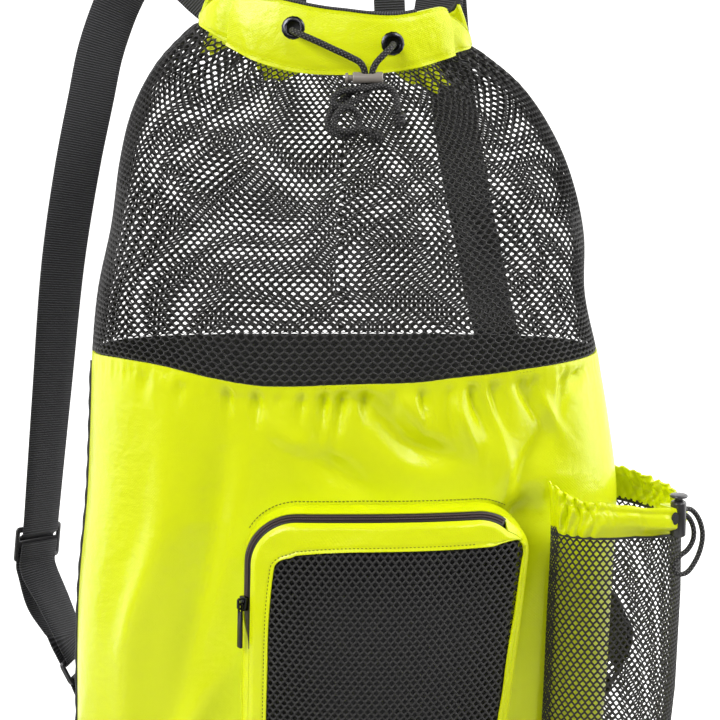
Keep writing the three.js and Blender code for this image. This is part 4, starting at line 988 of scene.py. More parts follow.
class BACKPACK_OT_net_walls(bpy.types.Operator):
    """Knitted net of the upper bag"""

    bl_idname = "backpack.net_walls"
    bl_label = "Net walls"

    def execute(self, context):
        pitch, row, thread = sizes().net_pitch / MM, sizes().net_row / MM, sizes().net_thread / MM
        walls = (
            ("mesh_front", SEAM_LEFT, SEAM_RIGHT, math.radians(250)),
            ("mesh_back", SIDE_SEAM, SEAM_LEFT, math.radians(90)),
        )
        for name, first, last, middle in walls:
            angle_at, wide = even_angles(NET_LEVEL, first, last)
            height_at, high = even_heights(middle, HEM_HEIGHT + 0.3, MOUTH_SEAM)
            front = name == "mesh_front"
            strand = thread if front else BACK_NET_THREAD

            def surface(x, y):
                x, y = self.uneven(x, y, wide, high, 1.0 if front else 2.2)
                z, angle = height_at(y / high), angle_at(x / wide)
                hidden = np.zeros_like(z)
                if front:
                    top = hem_height(angle)
                    z = z + (top - NET_TUCK - HEM_HEIGHT) * ease(60, 0, y)
                    hidden = 2.0 * ease(1.5, -1.5, z - top)
                drape = 1.2 * np.sin(angle * 9 + z / 21) * np.sin(np.pi * y / high)
                near = ease(MOUTH_SEAM - 42, MOUTH_SEAM - 4, z)
                pleats = np.cos(46 * angle + 2 * np.sin(7 * angle))
                gather = 1.8 * near * pleats * ease(MOUTH_SEAM, MOUTH_SEAM - 5, z)
                return bag_point(z, angle, CLOTH / 2 + hidden + drape * np.sin(np.pi * x / wide) + gather)

            net = net_sheet(name, surface, wide, high, pitch, row, strand, BODY_POINT)
            finish_piece(net, knitted_net(), [name], smooth=80)
        for side, angle in (("left", SEAM_LEFT), ("right", SIDE_SEAM)):
            z = np.linspace(HEM_HEIGHT, MOUTH_SEAM - 1, 120)
            line = bag_point(z, np.full_like(z, angle), CLOTH / 2)
            seam = cord_tube("net_seam_" + side, line, NET_SEAM_THICK, 8)
            finish_piece(seam, plain_weave())
        return {"FINISHED"}

    def uneven(self, x, y, wide, high, share):
        """Places on the net drawn a little out of line, as limp net hangs."""
        held = np.sin(np.pi * np.clip(y / high, 0, 1)) * share
        over = 1.5 * np.sin(y / 23 + x / 61 + share) + 1.0 * np.sin(x / 17 - y / 31 + 2 * share)
        along = 1.2 * np.sin(x / 29 + share) + 0.9 * np.sin(x / 53 + y / 19)
        return np.clip(x + held * over, 0, wide), np.clip(y + held * along, 0, high)


class BACKPACK_OT_collar(bpy.types.Operator):
    """Bright collar round the mouth, its bound back edge and its eyelets"""

    bl_idname = "backpack.collar"
    bl_label = "Collar"

    def execute(self, context):
        def surface(u, v, inset=0.0):
            angle = SEAM_LEFT - math.pi / 2 + u * 2 * math.pi
            z = MOUTH_SEAM + 0.6 + v * (collar_top(angle) - MOUTH_SEAM - 0.6)
            ripple = 0.7 * np.sin(angle * 17 + 2 * np.sin(v * 3)) * np.exp(-((v / 0.35) ** 2))
            ripple += 0.5 * np.sin(angle * 11 + v * 4) * v
            ripple -= collar_lap(z, angle)
            edge = 0.6 * sum(np.exp(-(((v - row) / 0.03) ** 2)) for _, row in COLLAR_ROWS)
            return collar_point(z, angle, inset - ripple + edge)

        round_length = 2 * float(COLLAR_SECTIONS[0, 1:3].sum()) * MOUTH_SHARE + FOLD_CLOTH
        collar = cloth_sheet("collar", 260, 26, surface, (round_length, 60), COLLAR_CLOTH, weld=True)
        for side, turned, height in EYELETS:
            angle = np.radians([turned, turned + 1, turned])
            spot = collar_point(np.array([height, height, height + 2.0]), angle, COLLAR_CLOTH / 2)
            look = Vector(unit(np.cross(spot[1] - spot[0], spot[2] - spot[0])))
            middle = Vector(spot[0]) * MM
            turn = look.to_track_quat("Z", "Y")
            hard_piece("eyelet_" + side, plated_steel("metal"), 0.35)
            no_selection()
            bpy.ops.mesh.primitive_cylinder_add(
                vertices=32, radius=0.0085, depth=0.02, location=middle, rotation=turn.to_euler()
            )
            cutter = context.object
            apply_modifier(collar, "BOOLEAN", operation="DIFFERENCE", object=cutter, solver="EXACT")
            bpy.data.objects.remove(cutter)
            # A dark cloth disc behind each eyelet: painted shade, standing for the tunnel's far wall of
            # bright cloth lying in shadow inside the hole
            shade_disc = disc("eyelet_painted_shade_" + side, 32, 0.0105)
            narrower = (bpy.ops.transform.resize, {"value": (0.8, 0.8, 1), "center_override": (0, 0, 0)})
            edit_steps(shade_disc, raised(-0.0008), narrower)
            shade_disc.data.transform(Matrix.Translation(middle - look * 0.0042) @ turn.to_matrix().to_4x4())
            finish_piece(shade_disc, plain_weave())
        facings = [collar]
        for first, last, deep in FACINGS:

            def facing(u, v):
                angle = np.radians(first + (last - first) * u)
                ragged = deep * np.sin(np.pi * np.clip(u, 0.02, 0.98)) ** 0.6 * (0.85 + 0.15 * np.sin(u * 19))
                return bag_point(MOUTH_SEAM + 1 - ragged * (1 - v), angle, np.full_like(u, 4.5))

            facings.append(cloth_sheet("collar_facing", 60, 8, facing, (50, deep), 0.8))
        collar = join_pieces("collar", facings)
        finish_piece(collar, coated_polyester(), ["collar"])

        angle = np.linspace(math.radians(14), math.radians(166), 90)
        rim = collar_point(collar_top(angle), angle, COLLAR_CLOTH / 2)
        binding = cord_tube("mouth_binding", rim + (0, 0, 2.2), 4.4)
        finish_piece(binding, ribbed_webbing(), ["mouth_binding"])
        shares = (np.radians(np.linspace(236, 304, 160)) - SEAM_LEFT + math.pi / 2) / (2 * math.pi)
        front_rim = surface(shares, np.ones_like(shares), COLLAR_CLOTH / 2)
        tape = cord_tube("front_binding", front_rim + (0, 0, 0.9), 3.0, 10)
        finish_piece(tape, ribbed_webbing())
        u = np.linspace(0, 1, 800)
        for label, row in COLLAR_ROWS:
            line = surface(u, np.full_like(u, row), -0.15)
            look = unit(line * (1, 1, 0))
            stitches = stitch_row("collar_stitches_" + label, line, look, sizes().stitch / MM)
            finish_piece(stitches, coated_polyester())
        return {"FINISHED"}


# Routes of the cords, from where each leaves the bag
DRAWCORD_LEFT = (
    (-35, -52.5, 640),
    (-34.5, -60, 639.5),
    (-28, -65.5, 637),
    (-16, -69, 632),
    (-4, -71, 626.5),
    (8, -72, 621),
    (16.5, -72, 616),
    (19.4, -72, 610),
    (19.4, -72, 600),
    (10, -77, 594.9),
    (1, -80, 587.6),
    (-5.7, -84, 580.4),
    (-8.3, -87, 573.2),
    (-4.2, -90, 566),
    (4.1, -92, 563.1),
    (12.3, -91, 566.8),
    (15.3, -88.5, 574),
    (13, -89, 580.7),
    (6.7, -93, 584.7),
    (-0.3, -94.5, 580.7),
    (-3, -95.5, 573.8),
    (1.1, -97, 568),
    (8.2, -97.5, 567.2),
    (13, -96.8, 568.6),
    (17.5, -95.4, 568.4),
    (23.7, -92.8, 565.4),
)
DRAWCORD_RIGHT = (
    (41, -51.8, 629.4),
    (41, -60, 629),
    (38.5, -67, 626.5),
    (33, -71, 621.5),
    (28, -72, 616),
    (25.4, -72, 610),
    (25.4, -72, 600),
    (21.3, -78, 594.2),
    (10.4, -85.5, 588),
    (2, -88.5, 585),
    (-3.6, -88, 587),
    (-4.4, -86, 591.4),
    (0.8, -84, 595),
    (10, -83, 597),
    (19, -81.5, 597.7),
    (26.5, -78.5, 599),
    (34, -76, 599.3),
    (40, -76, 596.3),
    (43.4, -78.5, 590.5),
    (43.7, -82, 584),
    (44.8, -85, 579),
)
BOTTLE_CORD = (
    (240.7, -109.1, 277.9),
    (247, -113.6, 277.9),
    (253.5, -113.3, 277.9),
    (259.9, -107, 277.9),
    (266.3, -100.7, 277.9),
    (272, -97, 276),
    (277.8, -96, 268.5),
    (280.8, -97, 257.5),
    (279.5, -98.8, 246.5),
    (274.8, -101.2, 235.5),
    (268, -104, 227.8),
    (260.5, -107, 228),
    (257.5, -108, 235),
    (262, -106, 241.5),
    (268.5, -103.2, 246),
    (272.8, -101.2, 253),
    (273.4, -100, 261),
    (271, -98.2, 268),
    (266.3, -100.7, 273.1),
    (259.9, -107, 273.1),
    (253.5, -113.3, 273.1),
    (247, -113.6, 273.1),
    (240.7, -109.1, 273.1),
)


class BACKPACK_OT_drawcords(bpy.types.Operator):
    """Drawcords tied in a loose bow, their knots and the cord lock"""

    bl_idname = "backpack.drawcords"
    bl_label = "Drawcords"

    def execute(self, context):
        wide = sizes().drawcord
        for side, route in (("left", DRAWCORD_LEFT), ("right", DRAWCORD_RIGHT)):
            line = smooth_path(route, 1.0)
            cord = cord_tube("drawcord_" + side, line, wide / MM)
            finish_piece(cord, braided_cord(), ["drawcord_" + side], smooth=80)
            along = unit(line[-1] - line[-4])
            knot = self.knot("drawcord_knot_" + side, line[-1], along)
            finish_piece(knot, braided_cord(), ["drawcord_knot_" + side], smooth=80)
        acetal = moulded_acetal("pale_plastic")
        hard_piece("cord_lock_body", acetal, 0.4)
        hard_piece("cord_lock_button", acetal, 0.4, body="cord_button")
        return {"FINISHED"}

    def knot(self, name, end, along):
        """An overhand knot: a cord wound one and a half times round its own line, with a short tail."""
        across, up = sweep_frames(np.array([end, end + along, end + 2 * along]))
        side, high = across[0], up[0]
        turn = np.linspace(0, 4.6 * math.pi, 90)
        radius = 2.5 + 0.5 * np.sin(turn * 0.5)
        forward = 0.8 + 8.6 * turn / turn[-1]
        loop = end + np.outer(forward, along)
        loop = loop + np.outer(radius * np.cos(turn), side) + np.outer(radius * np.sin(turn), high)
        return cord_tube(name, loop, 4.6)


# Front pocket: its outline's middle, size and corner radius, then its lean, taper, depth, sink and bulge
POCKET_X, POCKET_Z, POCKET_WIDE, POCKET_HIGH, POCKET_CORNER = 29.5, 167, 205, 240, 38
POCKET_LEAN, POCKET_TAPER, POCKET_DEEP, POCKET_SINK, POCKET_BULGE = 7, 0.04, 38, 13, 18
# The zip's width and slope, the gap from it to the face, and how far the face stands up inside it
ZIP_STEP, ZIP_DROP, FACE_GAP, FACE_RISE = 5, 5.5, 0.3, 3
# How far the unzipped right edge is let out and its frame is trimmed, and how square its window's corner is
LET_OUT, EDGE_TRIM, CORNER_POWER = 4, 2, 6
# Length of the zip below its slider, and the window's stitches from its edge
ZIP_TAIL, WINDOW_STITCH = 34, 2.6
# Width of the cloth frame at each edge of the window
FRAME_LEFT, FRAME_RIGHT, FRAME_TOP, FRAME_BOTTOM = 14, 3.5, 20, 13


def pocket_outline():
    """Shares and points round the pocket's flat outline from its bottom edge's middle, and its length."""
    w, h, r = POCKET_WIDE / 2, POCKET_HIGH / 2, POCKET_CORNER
    corners = ((w - r, r - h, -90), (w - r, h - r, 0), (r - w, h - r, 90), (r - w, r - h, 180))
    points = [(0, -h)]
    for x, z, start in corners:
        for angle in np.radians(np.linspace(start, start + 90, 60)):
            points.append((x + r * math.cos(angle), z + r * math.sin(angle)))
    points = np.array(points + [(0, -h)])
    walked = walked_along(points)
    return walked / walked[-1], points, walked[-1]


OUTLINE_SHARE, OUTLINE_POINTS, OUTLINE_LONG = pocket_outline()
SIDE_LONG = POCKET_HIGH - 2 * POCKET_CORNER
TOP_LONG = POCKET_WIDE - 2 * POCKET_CORNER
CORNER_LONG = math.pi / 2 * POCKET_CORNER
ZIP_FIRST = (TOP_LONG / 2 + 1.6 * CORNER_LONG + SIDE_LONG) / OUTLINE_LONG
SLIDER_SHARE = (1.5 * TOP_LONG + 3 * CORNER_LONG + 1.19 * SIDE_LONG) / OUTLINE_LONG
ZIP_LAST = SLIDER_SHARE + ZIP_TAIL / OUTLINE_LONG


def outline_at(share):
    """Point on the pocket's outline at each share of the way round it, and the direction there."""
    step = 0.002
    edge = at_lengths(share, OUTLINE_SHARE, OUTLINE_POINTS)
    ahead = at_lengths((share + step) % 1, OUTLINE_SHARE, OUTLINE_POINTS)
    behind = at_lengths((share - step) % 1, OUTLINE_SHARE, OUTLINE_POINTS)
    return edge, unit(ahead - behind)


def pocket_surface(flat_x, flat_z, depth, dome_share):
    u, v = flat_x / (POCKET_WIDE / 2), flat_z / (POCKET_HIGH / 2)
    x = POCKET_X + flat_x * (1 + POCKET_TAPER * v) + POCKET_LEAN * v
    z = POCKET_Z + flat_z
    dome = POCKET_BULGE * (1 - u * u) * (1 - v * v) * dome_share
    sink = POCKET_SINK * (0.5 + 0.5 * v) * np.minimum(1, depth / POCKET_DEEP)
    return np.stack([x, bag_front(x, z) - depth - dome + sink, z], -1)


def pocket_point(share, inset, depth):
    edge, along = outline_at(share)
    x = edge[:, 0] - along[:, 1] * inset
    z = edge[:, 1] + along[:, 0] * inset
    return pocket_surface(x, z, depth, ease(0, ZIP_STEP, inset))


def let_out(share):
    """Share of the letting out at a place on the outline: none but on the right edge, and all at its top."""
    edge, along = outline_at(share)
    return ease(0.7, 1.0, along[:, 1]) * ease(-POCKET_HIGH / 2, POCKET_HIGH / 3, edge[:, 1])


def face_start(share):
    """Inset of the face's outer edge, beside the zip or the trimmed right edge."""
    return ZIP_STEP + FACE_GAP - (LET_OUT + EDGE_TRIM) * let_out(share)


def window_inset(share):
    """Inset of the window's edge, whose top right corner is almost square and whose others are round."""
    edge, along = outline_at(share)
    level = np.where(along[:, 0] > 0, FRAME_BOTTOM, FRAME_TOP)
    right = FRAME_RIGHT - (FRAME_RIGHT - 0.8) * ease(0, POCKET_HIGH / 2, edge[:, 1])
    upright = np.where(along[:, 1] > 0, right, FRAME_LEFT)
    corner = (edge[:, 0] + POCKET_WIDE / 2) ** 2 + (edge[:, 1] - POCKET_HIGH / 2) ** 2
    cut = 7 * np.exp(-corner / 45**2)
    step = face_start(share) - FACE_GAP
    reach = np.abs(along) / (POCKET_CORNER - step[:, None] - np.stack([level, upright], -1))
    square = POCKET_CORNER - (reach**CORNER_POWER).sum(-1) ** (-1 / CORNER_POWER)
    plain = step + level * along[:, 0] ** 2 + upright * along[:, 1] ** 2
    return np.where((along[:, 0] < 0) & (along[:, 1] > 0), square, plain) + cut


class BACKPACK_OT_front_pocket(bpy.types.Operator):
    """Zipped front pocket with its net window"""

    bl_idname = "backpack.front_pocket"
    bl_label = "Front pocket"

    def execute(self, context):
        def gusset(u, v):
            zipped = ease(ZIP_FIRST - 0.01, ZIP_FIRST + 0.005, u)
            plain = 1 - zipped * (1 - ease(SLIDER_SHARE + 0.01, ZIP_LAST, u))
            over = ease(0.86, 1, v) * plain
            depth = 0.6 + (POCKET_DEEP - 0.6) * np.minimum(v / 0.9, 1) + ZIP_DROP * over
            sag = 0.8 * np.sin(u * 160) * np.sin(np.pi * v) + 0.9 * np.sin(u * 61 + 1) * np.sin(np.pi * v)
            sag = sag * np.sin(np.pi * np.minimum(v, 0.9) / 0.9) ** 2
            rim = over * (ZIP_STEP - EDGE_TRIM * let_out(u)) - LET_OUT * let_out(u) * ease(0.2, 0.9, v)
            return pocket_point(u, rim + sag, depth)

        walls = cloth_sheet("pocket_gusset", 320, 22, gusset, (OUTLINE_LONG, POCKET_DEEP + 6), 1.4, weld=True)
        finish_piece(walls, coated_polyester(), ["pocket_gusset"])

        face_depth = POCKET_DEEP + ZIP_DROP + FACE_GAP

        def face(u, v, lift=0.0):
            start, end = face_start(u), window_inset(u)
            inset = start + (end - start) * v
            rise = FACE_RISE * ease(start - 1, start + 4, inset)
            wave = 0.5 * np.sin(u * 90) * np.sin(np.pi * v)
            groove = 0.7 * np.exp(-((((1 - v) * (end - start) - WINDOW_STITCH) / 0.9) ** 2))
            return pocket_point(u, inset, face_depth + rise + wave - groove + lift)

        front = cloth_sheet("pocket_face", 320, 18, face, (OUTLINE_LONG, 16), 1.4, weld=True)
        finish_piece(front, coated_polyester(), ["pocket_face"])

        u = np.linspace(0.42, 1.1, 900) % 1
        gap = window_inset(u) - face_start(u)
        line = face(u, 1 - WINDOW_STITCH / np.maximum(gap, 5), 0.1)
        look = np.tile((0.0, -1.0, 0.0), (len(u), 1))
        stitches = stitch_row("window_stitches", line, look, sizes().stitch / MM)
        finish_piece(stitches, thread_in_painted_shade())

        top_left = (1.5 * TOP_LONG + 2.7 * CORNER_LONG + SIDE_LONG) / OUTLINE_LONG
        u = np.linspace(ZIP_FIRST, top_left, 500)
        line = pocket_point(u, -2.4, 0.0)
        line[:, 1] = cloth_front(line[:, 0], line[:, 2]) - 0.25
        stitches = stitch_row("pocket_seam_stitches", line, look[: len(u)], sizes().stitch / MM, 0.75)
        finish_piece(stitches, thread_in_painted_shade())

        def lining(u, v):
            edge, _ = outline_at(u)
            flat = edge * (0.985 * (1 - v))[:, None]
            return pocket_surface(flat[:, 0], flat[:, 1], np.full_like(u, 2.6), np.zeros_like(u))

        back = cloth_sheet("pocket_lining", 120, 24, lining, (OUTLINE_LONG, 100), 0.6, weld=True)
        finish_piece(back, plain_weave())
        self.window(face_depth)
        self.zip(face_depth)
        return {"FINISHED"}

    def window(self, depth):
        share = np.linspace(0, 1, 400, endpoint=False)
        edge, along = outline_at(share)
        inset = window_inset(share) - np.clip(window_inset(share) - 8, 0.2, 4)
        wide, high = POCKET_WIDE, POCKET_HIGH
        border = edge + np.stack([-along[:, 1], along[:, 0]], -1) * inset[:, None] + (wide / 2, high / 2)

        def surface(x, y):
            x, y = x - wide / 2, y - high / 2
            past = np.stack([np.abs(x) - wide / 2, np.abs(y) - high / 2], -1) + POCKET_CORNER
            outside = np.linalg.norm(np.maximum(past, 0), axis=-1)
            within = POCKET_CORNER - outside - np.minimum(past.max(-1), 0)
            rise = FACE_RISE * ease(ZIP_STEP - 0.7, ZIP_STEP + 4.3, within)
            return pocket_surface(x, y, depth + rise - 1.9, np.ones_like(x))

        pitch, thread = sizes().pocket_net_pitch / MM, sizes().pocket_net_thread / MM
        net = net_sheet(
            "pocket_mesh", surface, wide, high, pitch, POCKET_NET_ROW, thread, POCKET_POINT, border
        )
        finish_piece(net, knitted_net(), ["pocket_mesh"], smooth=80)

    def zip(self, depth):
        def tape(u, v):
            share = ZIP_FIRST + (ZIP_LAST - ZIP_FIRST) * u
            closed = ease(SLIDER_SHARE, ZIP_LAST, share)
            outer = 0.4 + (ZIP_STEP - 0.8) * closed
            inset = outer + (ZIP_STEP - outer) * v
            crown = 0.6 * np.sin(np.pi * v) * (1 - closed)
            return pocket_point(share, inset, POCKET_DEEP + 0.3 + (ZIP_DROP - 0.2) * inset / ZIP_STEP + crown)

        long = (ZIP_LAST - ZIP_FIRST) * OUTLINE_LONG
        band = cloth_sheet("zip_tape", 300, 8, tape, (long, 8), 1.2)
        u = np.linspace(0.004, (SLIDER_SHARE - ZIP_FIRST) / (ZIP_LAST - ZIP_FIRST), 700)
        middle = tape(u, np.full_like(u, 0.5))
        outer = tape(u, np.full_like(u, 0.35))
        inner = tape(u, np.full_like(u, 0.65))
        along = unit(np.gradient(middle, axis=0))
        look = unit(np.cross(along, outer - inner))
        if look[:, 1].mean() > 0:
            look = -look
        coils = []
        for side, line in (("outer", outer), ("inner", inner)):
            coils.append(stitch_row("coil_" + side, line + look * 0.5, look, 1.5, 1.2, 0.9))
        band.name = band.data.name = "pocket_zip"
        finish_piece(band, zip_nylon("zip_tape"), ["pocket_zip"])
        finish_piece(join_pieces("zip_coil", coils), zip_nylon("zip_coil"))
        steel = plated_steel("zip_metal")
        hard_piece("zip_slider", steel, 0.5)
        hard_piece("zip_pull", steel, 0.4, body="zip_tab")


# Bottle pocket: its middle, radius and bottom, and the plan angles at which it is sewn to the bag
BOTTLE_X, BOTTLE_Y, BOTTLE_RADIUS, BOTTLE_LOW = 206, -52, 66, 22
BOTTLE_FRONT, BOTTLE_SIDE = math.radians(312.5), math.radians(362.5)
# The hem runs straight across to its cord lock, this far in front of the pocket's middle
HEM_FRONT = 66.5
# Height and how much narrower the pocket is there
BOTTLE_SHRINK = ((22, 17), (60, 7), (120, 2), (200, 0), (300, 2))
# Share of the way round, height of the hem's seam and of its rim
BOTTLE_RIM = (
    (0, 258, 297),
    (0.12, 258, 287),
    (0.3, 259, 285),
    (0.62, 250, 275),
    (0.82, 252, 277),
    (1, 256, 284),
)
# Height of the net's wall before sewing, and what its bottom adds to the cut length
BOTTLE_NET_HIGH, BOTTLE_NET_BOTTOM = 232, 50


def bottle_rim(share, column):
    table = np.array(BOTTLE_RIM)
    return np.interp(share, table[:, 0], table[:, column])


def bottle_point(share, z, inset):
    ends = []
    for angle in (BOTTLE_FRONT, BOTTLE_SIDE):
        at = bag_point(z, np.full_like(z, angle), -1.5)
        x, y = at[:, 0] - BOTTLE_X, at[:, 1] - BOTTLE_Y
        ends.append((np.arctan2(y, x), np.hypot(x, y)))
    angle = ends[0][0] + (ends[1][0] - ends[0][0]) * share
    table = np.array(BOTTLE_SHRINK)
    free = BOTTLE_RADIUS - np.interp(z, table[:, 0], table[:, 1])
    held = ends[0][1] + (ends[1][1] - ends[0][1]) * share
    away = np.sin(np.pi * np.clip(share, 0, 1)) ** 0.5
    far = held + (free - held) * away - inset
    return np.stack([BOTTLE_X + far * np.cos(angle), BOTTLE_Y + far * np.sin(angle), z], -1)


class BACKPACK_OT_bottle_pocket(bpy.types.Operator):
    """Net bottle pocket with its gathered hem, cord and cord lock"""

    bl_idname = "backpack.bottle_pocket"
    bl_label = "Bottle pocket"

    def execute(self, context):
        share = np.linspace(0, 1, 900)
        walk = bottle_point(share, np.full_like(share, 160.0), np.zeros_like(share))
        walked = walked_along(walk)
        wide, high = walked[-1], BOTTLE_NET_HIGH

        def wall(x, y):
            u = np.interp(x, walked, share)
            z = BOTTLE_LOW + y / high * (bottle_rim(u, 1) + 3 - BOTTLE_LOW)
            return bottle_point(u, z, np.full_like(u, CLOTH / 2))

        pitch, thread = sizes().pocket_net_pitch / MM, sizes().pocket_net_thread / MM
        net = net_sheet("bottle_pocket_mesh", wall, wide, high, pitch, BOTTLE_NET_ROW, thread, BOTTLE_POINT)

        outline = bottle_point(share, np.full_like(share, float(BOTTLE_LOW)), np.full_like(share, CLOTH / 2))
        angle = np.linspace(BOTTLE_SIDE, BOTTLE_FRONT, 40)[1:-1]
        border = np.vstack([outline, bag_point(np.full_like(angle, BOTTLE_LOW), angle, -1.2)])[::6, :2]
        low, size = border.min(0), np.ptp(border, axis=0)

        def floor(x, y):
            return np.stack([low[0] + x, low[1] + y, np.full_like(x, BOTTLE_LOW + CLOTH / 2)], -1)

        border = border - low
        bottom = net_sheet("bottle_floor", floor, *size, pitch, BOTTLE_NET_ROW, thread, FLOOR_POINT, border)
        net = join_pieces("bottle_pocket_mesh", [net, bottom])
        finish_piece(net, knitted_net(), ["bottle_pocket_mesh"], smooth=80)

        def hem(u, v):
            seam = bottle_rim(u, 1) + 0.9
            free = np.sin(np.pi * np.clip(u, 0, 1)) ** 0.3
            bunch = np.exp(-(((u - 0.07) / 0.1) ** 2)) + 0.6 * np.exp(-(((u - 0.9) / 0.16) ** 2))
            ruffle = 2 * np.abs(np.sin(np.pi * (24 * u + 0.8 * v) + 1.1 * np.sin(5 * v + 13 * u))) ** 0.7 - 1
            ruffle += 0.5 * np.sin(2 * np.pi * (31 * u - 1.7 * v) + 2 * np.sin(17 * u))
            swing = np.sin(2 * np.pi * 5.3 * u + 0.8) + 0.6 * np.sin(2 * np.pi * 11.7 * u)
            rim = bottle_rim(u, 2) + (0.7 * swing * free + 1.9 * bunch * ruffle) * v
            z = seam + (rim - seam) * v
            hold = np.minimum(1, 18 * np.minimum(u, 1 - u))
            puff = 4.2 * free * np.sin(np.pi * np.clip(v * 0.96 + 0.02, 0, 1)) ** 0.7
            slant = np.sin(2 * np.pi * 7.3 * u - 3.4 * v + 1.6 * np.sin(15 * u)) * np.sin(np.pi * v)
            pinch = np.exp(-((np.sin(2 * np.pi * 6.1 * u + 1.2 * v) / 0.3) ** 2)) * np.sin(np.pi * v) ** 2
            creases = (0.9 * slant - 1.4 * pinch) * free + 3.6 * bunch * ruffle * (0.35 + 0.65 * v)
            cinch = 1.4 * free * np.exp(-(((v - 0.8) / 0.06) ** 2))
            wall = bottle_point(u, z, np.zeros_like(u))
            x, y = wall[:, 0] - BOTTLE_X, wall[:, 1] - BOTTLE_Y
            reach = np.hypot(x, y)
            drawn = np.maximum(HEM_FRONT * reach / np.maximum(-y, 20) - reach, 0) * ease(0.14, 0.26, u)
            drawn *= ease(0.415, 0.394, u) * ease(0.02, 0.45, v)
            loose = 0.25 + 0.75 * (ease(0.4, 0.36, u) + ease(0.42, 0.5, u))
            return bottle_point(u, z, (cinch - puff - creases * hold) * loose - drawn + 1.2 * free * v**3)

        cloth = cloth_sheet("bottle_pocket_hem", 420, 28, hem, (wide, 30), 1.6)
        finish_piece(cloth, coated_polyester(), ["bottle_pocket_hem"])

        # A dark cloth disc where the cord goes into the hem: painted shade of the opening, which also covers
        # the cord there
        hole = disc("buttonhole_painted_shade", 28, 0.005)
        edit_steps(hole, (bpy.ops.mesh.inset, {"thickness": 0.0014}), raised(0.0007))
        stand = Vector((0.2, -1, 0)).to_track_quat("Z", "Y").to_matrix().to_4x4()
        spot = Vector(hem(np.array([0.389]), np.array([0.72]))[0]) + Vector((0.1, -0.8, 0))
        hole.data.transform(Matrix.Translation(spot * MM) @ stand @ Matrix.Diagonal((0.62, 1, 1, 1)))
        finish_piece(hole, plain_weave())

        u = np.linspace(0.01, 0.99, 260)
        seam = bottle_point(u, bottle_rim(u, 1) + 0.2, np.full_like(u, 0.2))
        tape = cord_tube("bottle_hem_seam", seam, 2.6, 8)
        finish_piece(tape, plain_weave())

        def folded(x, y):
            z = BOTTLE_LOW + 1 + y / high * (bottle_rim(x * 0, 1) - BOTTLE_LOW + 6)
            return bottle_point(0.003 + 0.04 * x / 10, z, -0.7 - 0.8 * np.sin(np.pi * x / 10))

        edge = net_sheet("bottle_net_fold", folded, 10, high, 2.6, 2.2, 1.3, 0.8)
        finish_piece(edge, knitted_net())

        thick = sizes().pocket_cord
        line = smooth_path(BOTTLE_CORD, 0.8)
        cord = cord_tube("bottle_pocket_cord", line, thick / MM)
        finish_piece(cord, braided_cord(), ["bottle_pocket_cord"], smooth=80)
        acetal = moulded_acetal("plastic")
        hard_piece("bottle_lock_body", acetal, 0.6)
        hard_piece("bottle_lock_button", acetal, 0.5, body="bottle_button")
        return {"FINISHED"}


# Straps: x, y, z, turn of the face from the front over the top, turn about the vertical
STRAP_LEFT = (
    (-72, 43.6, 638, 0, 7),
    (-86, 45, 648.5, 0, 6),
    (-103, 50, 661, 8, 0),
    (-122, 57, 676, 35, 0),
    (-139, 67, 688, 72, 0),
    (-157, 80, 690, 112, 0),
    (-173, 89, 678, 152, 0),
    (-184, 91, 660, 176, 3),
    (-199, 88, 620, 180, 8),
    (-208, 85, 580, 180, 12),
    (-220, 82, 525, 180, 18),
    (-234, 80, 445, 180, 26),
    (-247, 78, 330, 180, 38),
    (-254.5, 77.5, 262, 180, 44),
    (-259, 77.5, 221, 180, 47),
)
STRAP_RIGHT = (
    (73, 43.2, 632, 0, -7),
    (77, 44.6, 645, 0, -5),
    (80, 50, 661, 10, 0),
    (82, 60, 679, 40, 0),
    (83, 74, 690, 80, 0),
    (84, 90, 688, 120, 0),
    (85, 102, 672, 158, 0),
    (87, 107, 648, 178, 0),
    (92, 111, 600, 180, 0),
    (102, 116, 530, 180, 0),
    (120, 121, 440, 180, -4),
    (145, 121, 330, 180, -12),
    (163, 117, 262, 180, -18),
    (173, 114, 224, 180, -21),
)
HANDLE_HALF = (
    (40, 46.4, 630, 0, 0),
    (40, 46.8, 652, 0, 0),
    (37, 49, 677, 22, 6),
    (24, 53, 699, 50, 8),
    (0, 55, 708, 62, 0),
)
WEBBING_THICK = 1.6
# Strap sliders and rings, and the steps of the webbing through a slider
SLIDER_LONG, SLIDER_THICK, SLIDER_MIDDLE = 31, 2.4, 7
RING_LONG, RING_WIRE, RING_ROOM, RING_LEAD = 22, 3.4, 0.45, 14
SLIDER_STEPS = (-16, -11, -9.6, -7, -4.4, -3, 3, 9, 13)
# Left ring's middle and directions, and where its tab is sewn to the bag; the right one is its mirror image
ANCHOR_RING, ANCHOR_ALONG, ANCHOR_ACROSS = (-226.6, 55, 98.6), (-0.43, 0, 0.9), (0.36, 0.92, 0.17)
ANCHOR_ROOT_HEIGHT, ANCHOR_ROOT_ANGLE, ANCHOR_SEWN = 64, math.radians(23.4), 10


def strap_rows(table):
    """Points of a strap's table and the ways that its face looks there."""
    table = np.array(table, float)
    up, side = np.radians(table[:, 3]), np.radians(table[:, 4])
    level = -np.cos(up)
    face = np.stack([-level * np.sin(side), level * np.cos(side), np.sin(up)], -1)
    return table[:, :3], face


def smooth_strip(points, faces, spacing):
    """Even points along a strip's line and the ways that its face looks there."""
    line = smooth_path(np.hstack([points, np.asarray(faces) * 20]), spacing)
    return line[:, :3], unit(line[:, 3:])


def wrap(bar, start, end, radius):
    """Half a turn of webbing round a bar, from one side of it through another."""
    turn = np.linspace(0, math.pi, 7)[:, None]
    face = start * np.cos(turn) + end * np.sin(turn)
    return bar + face * radius, face


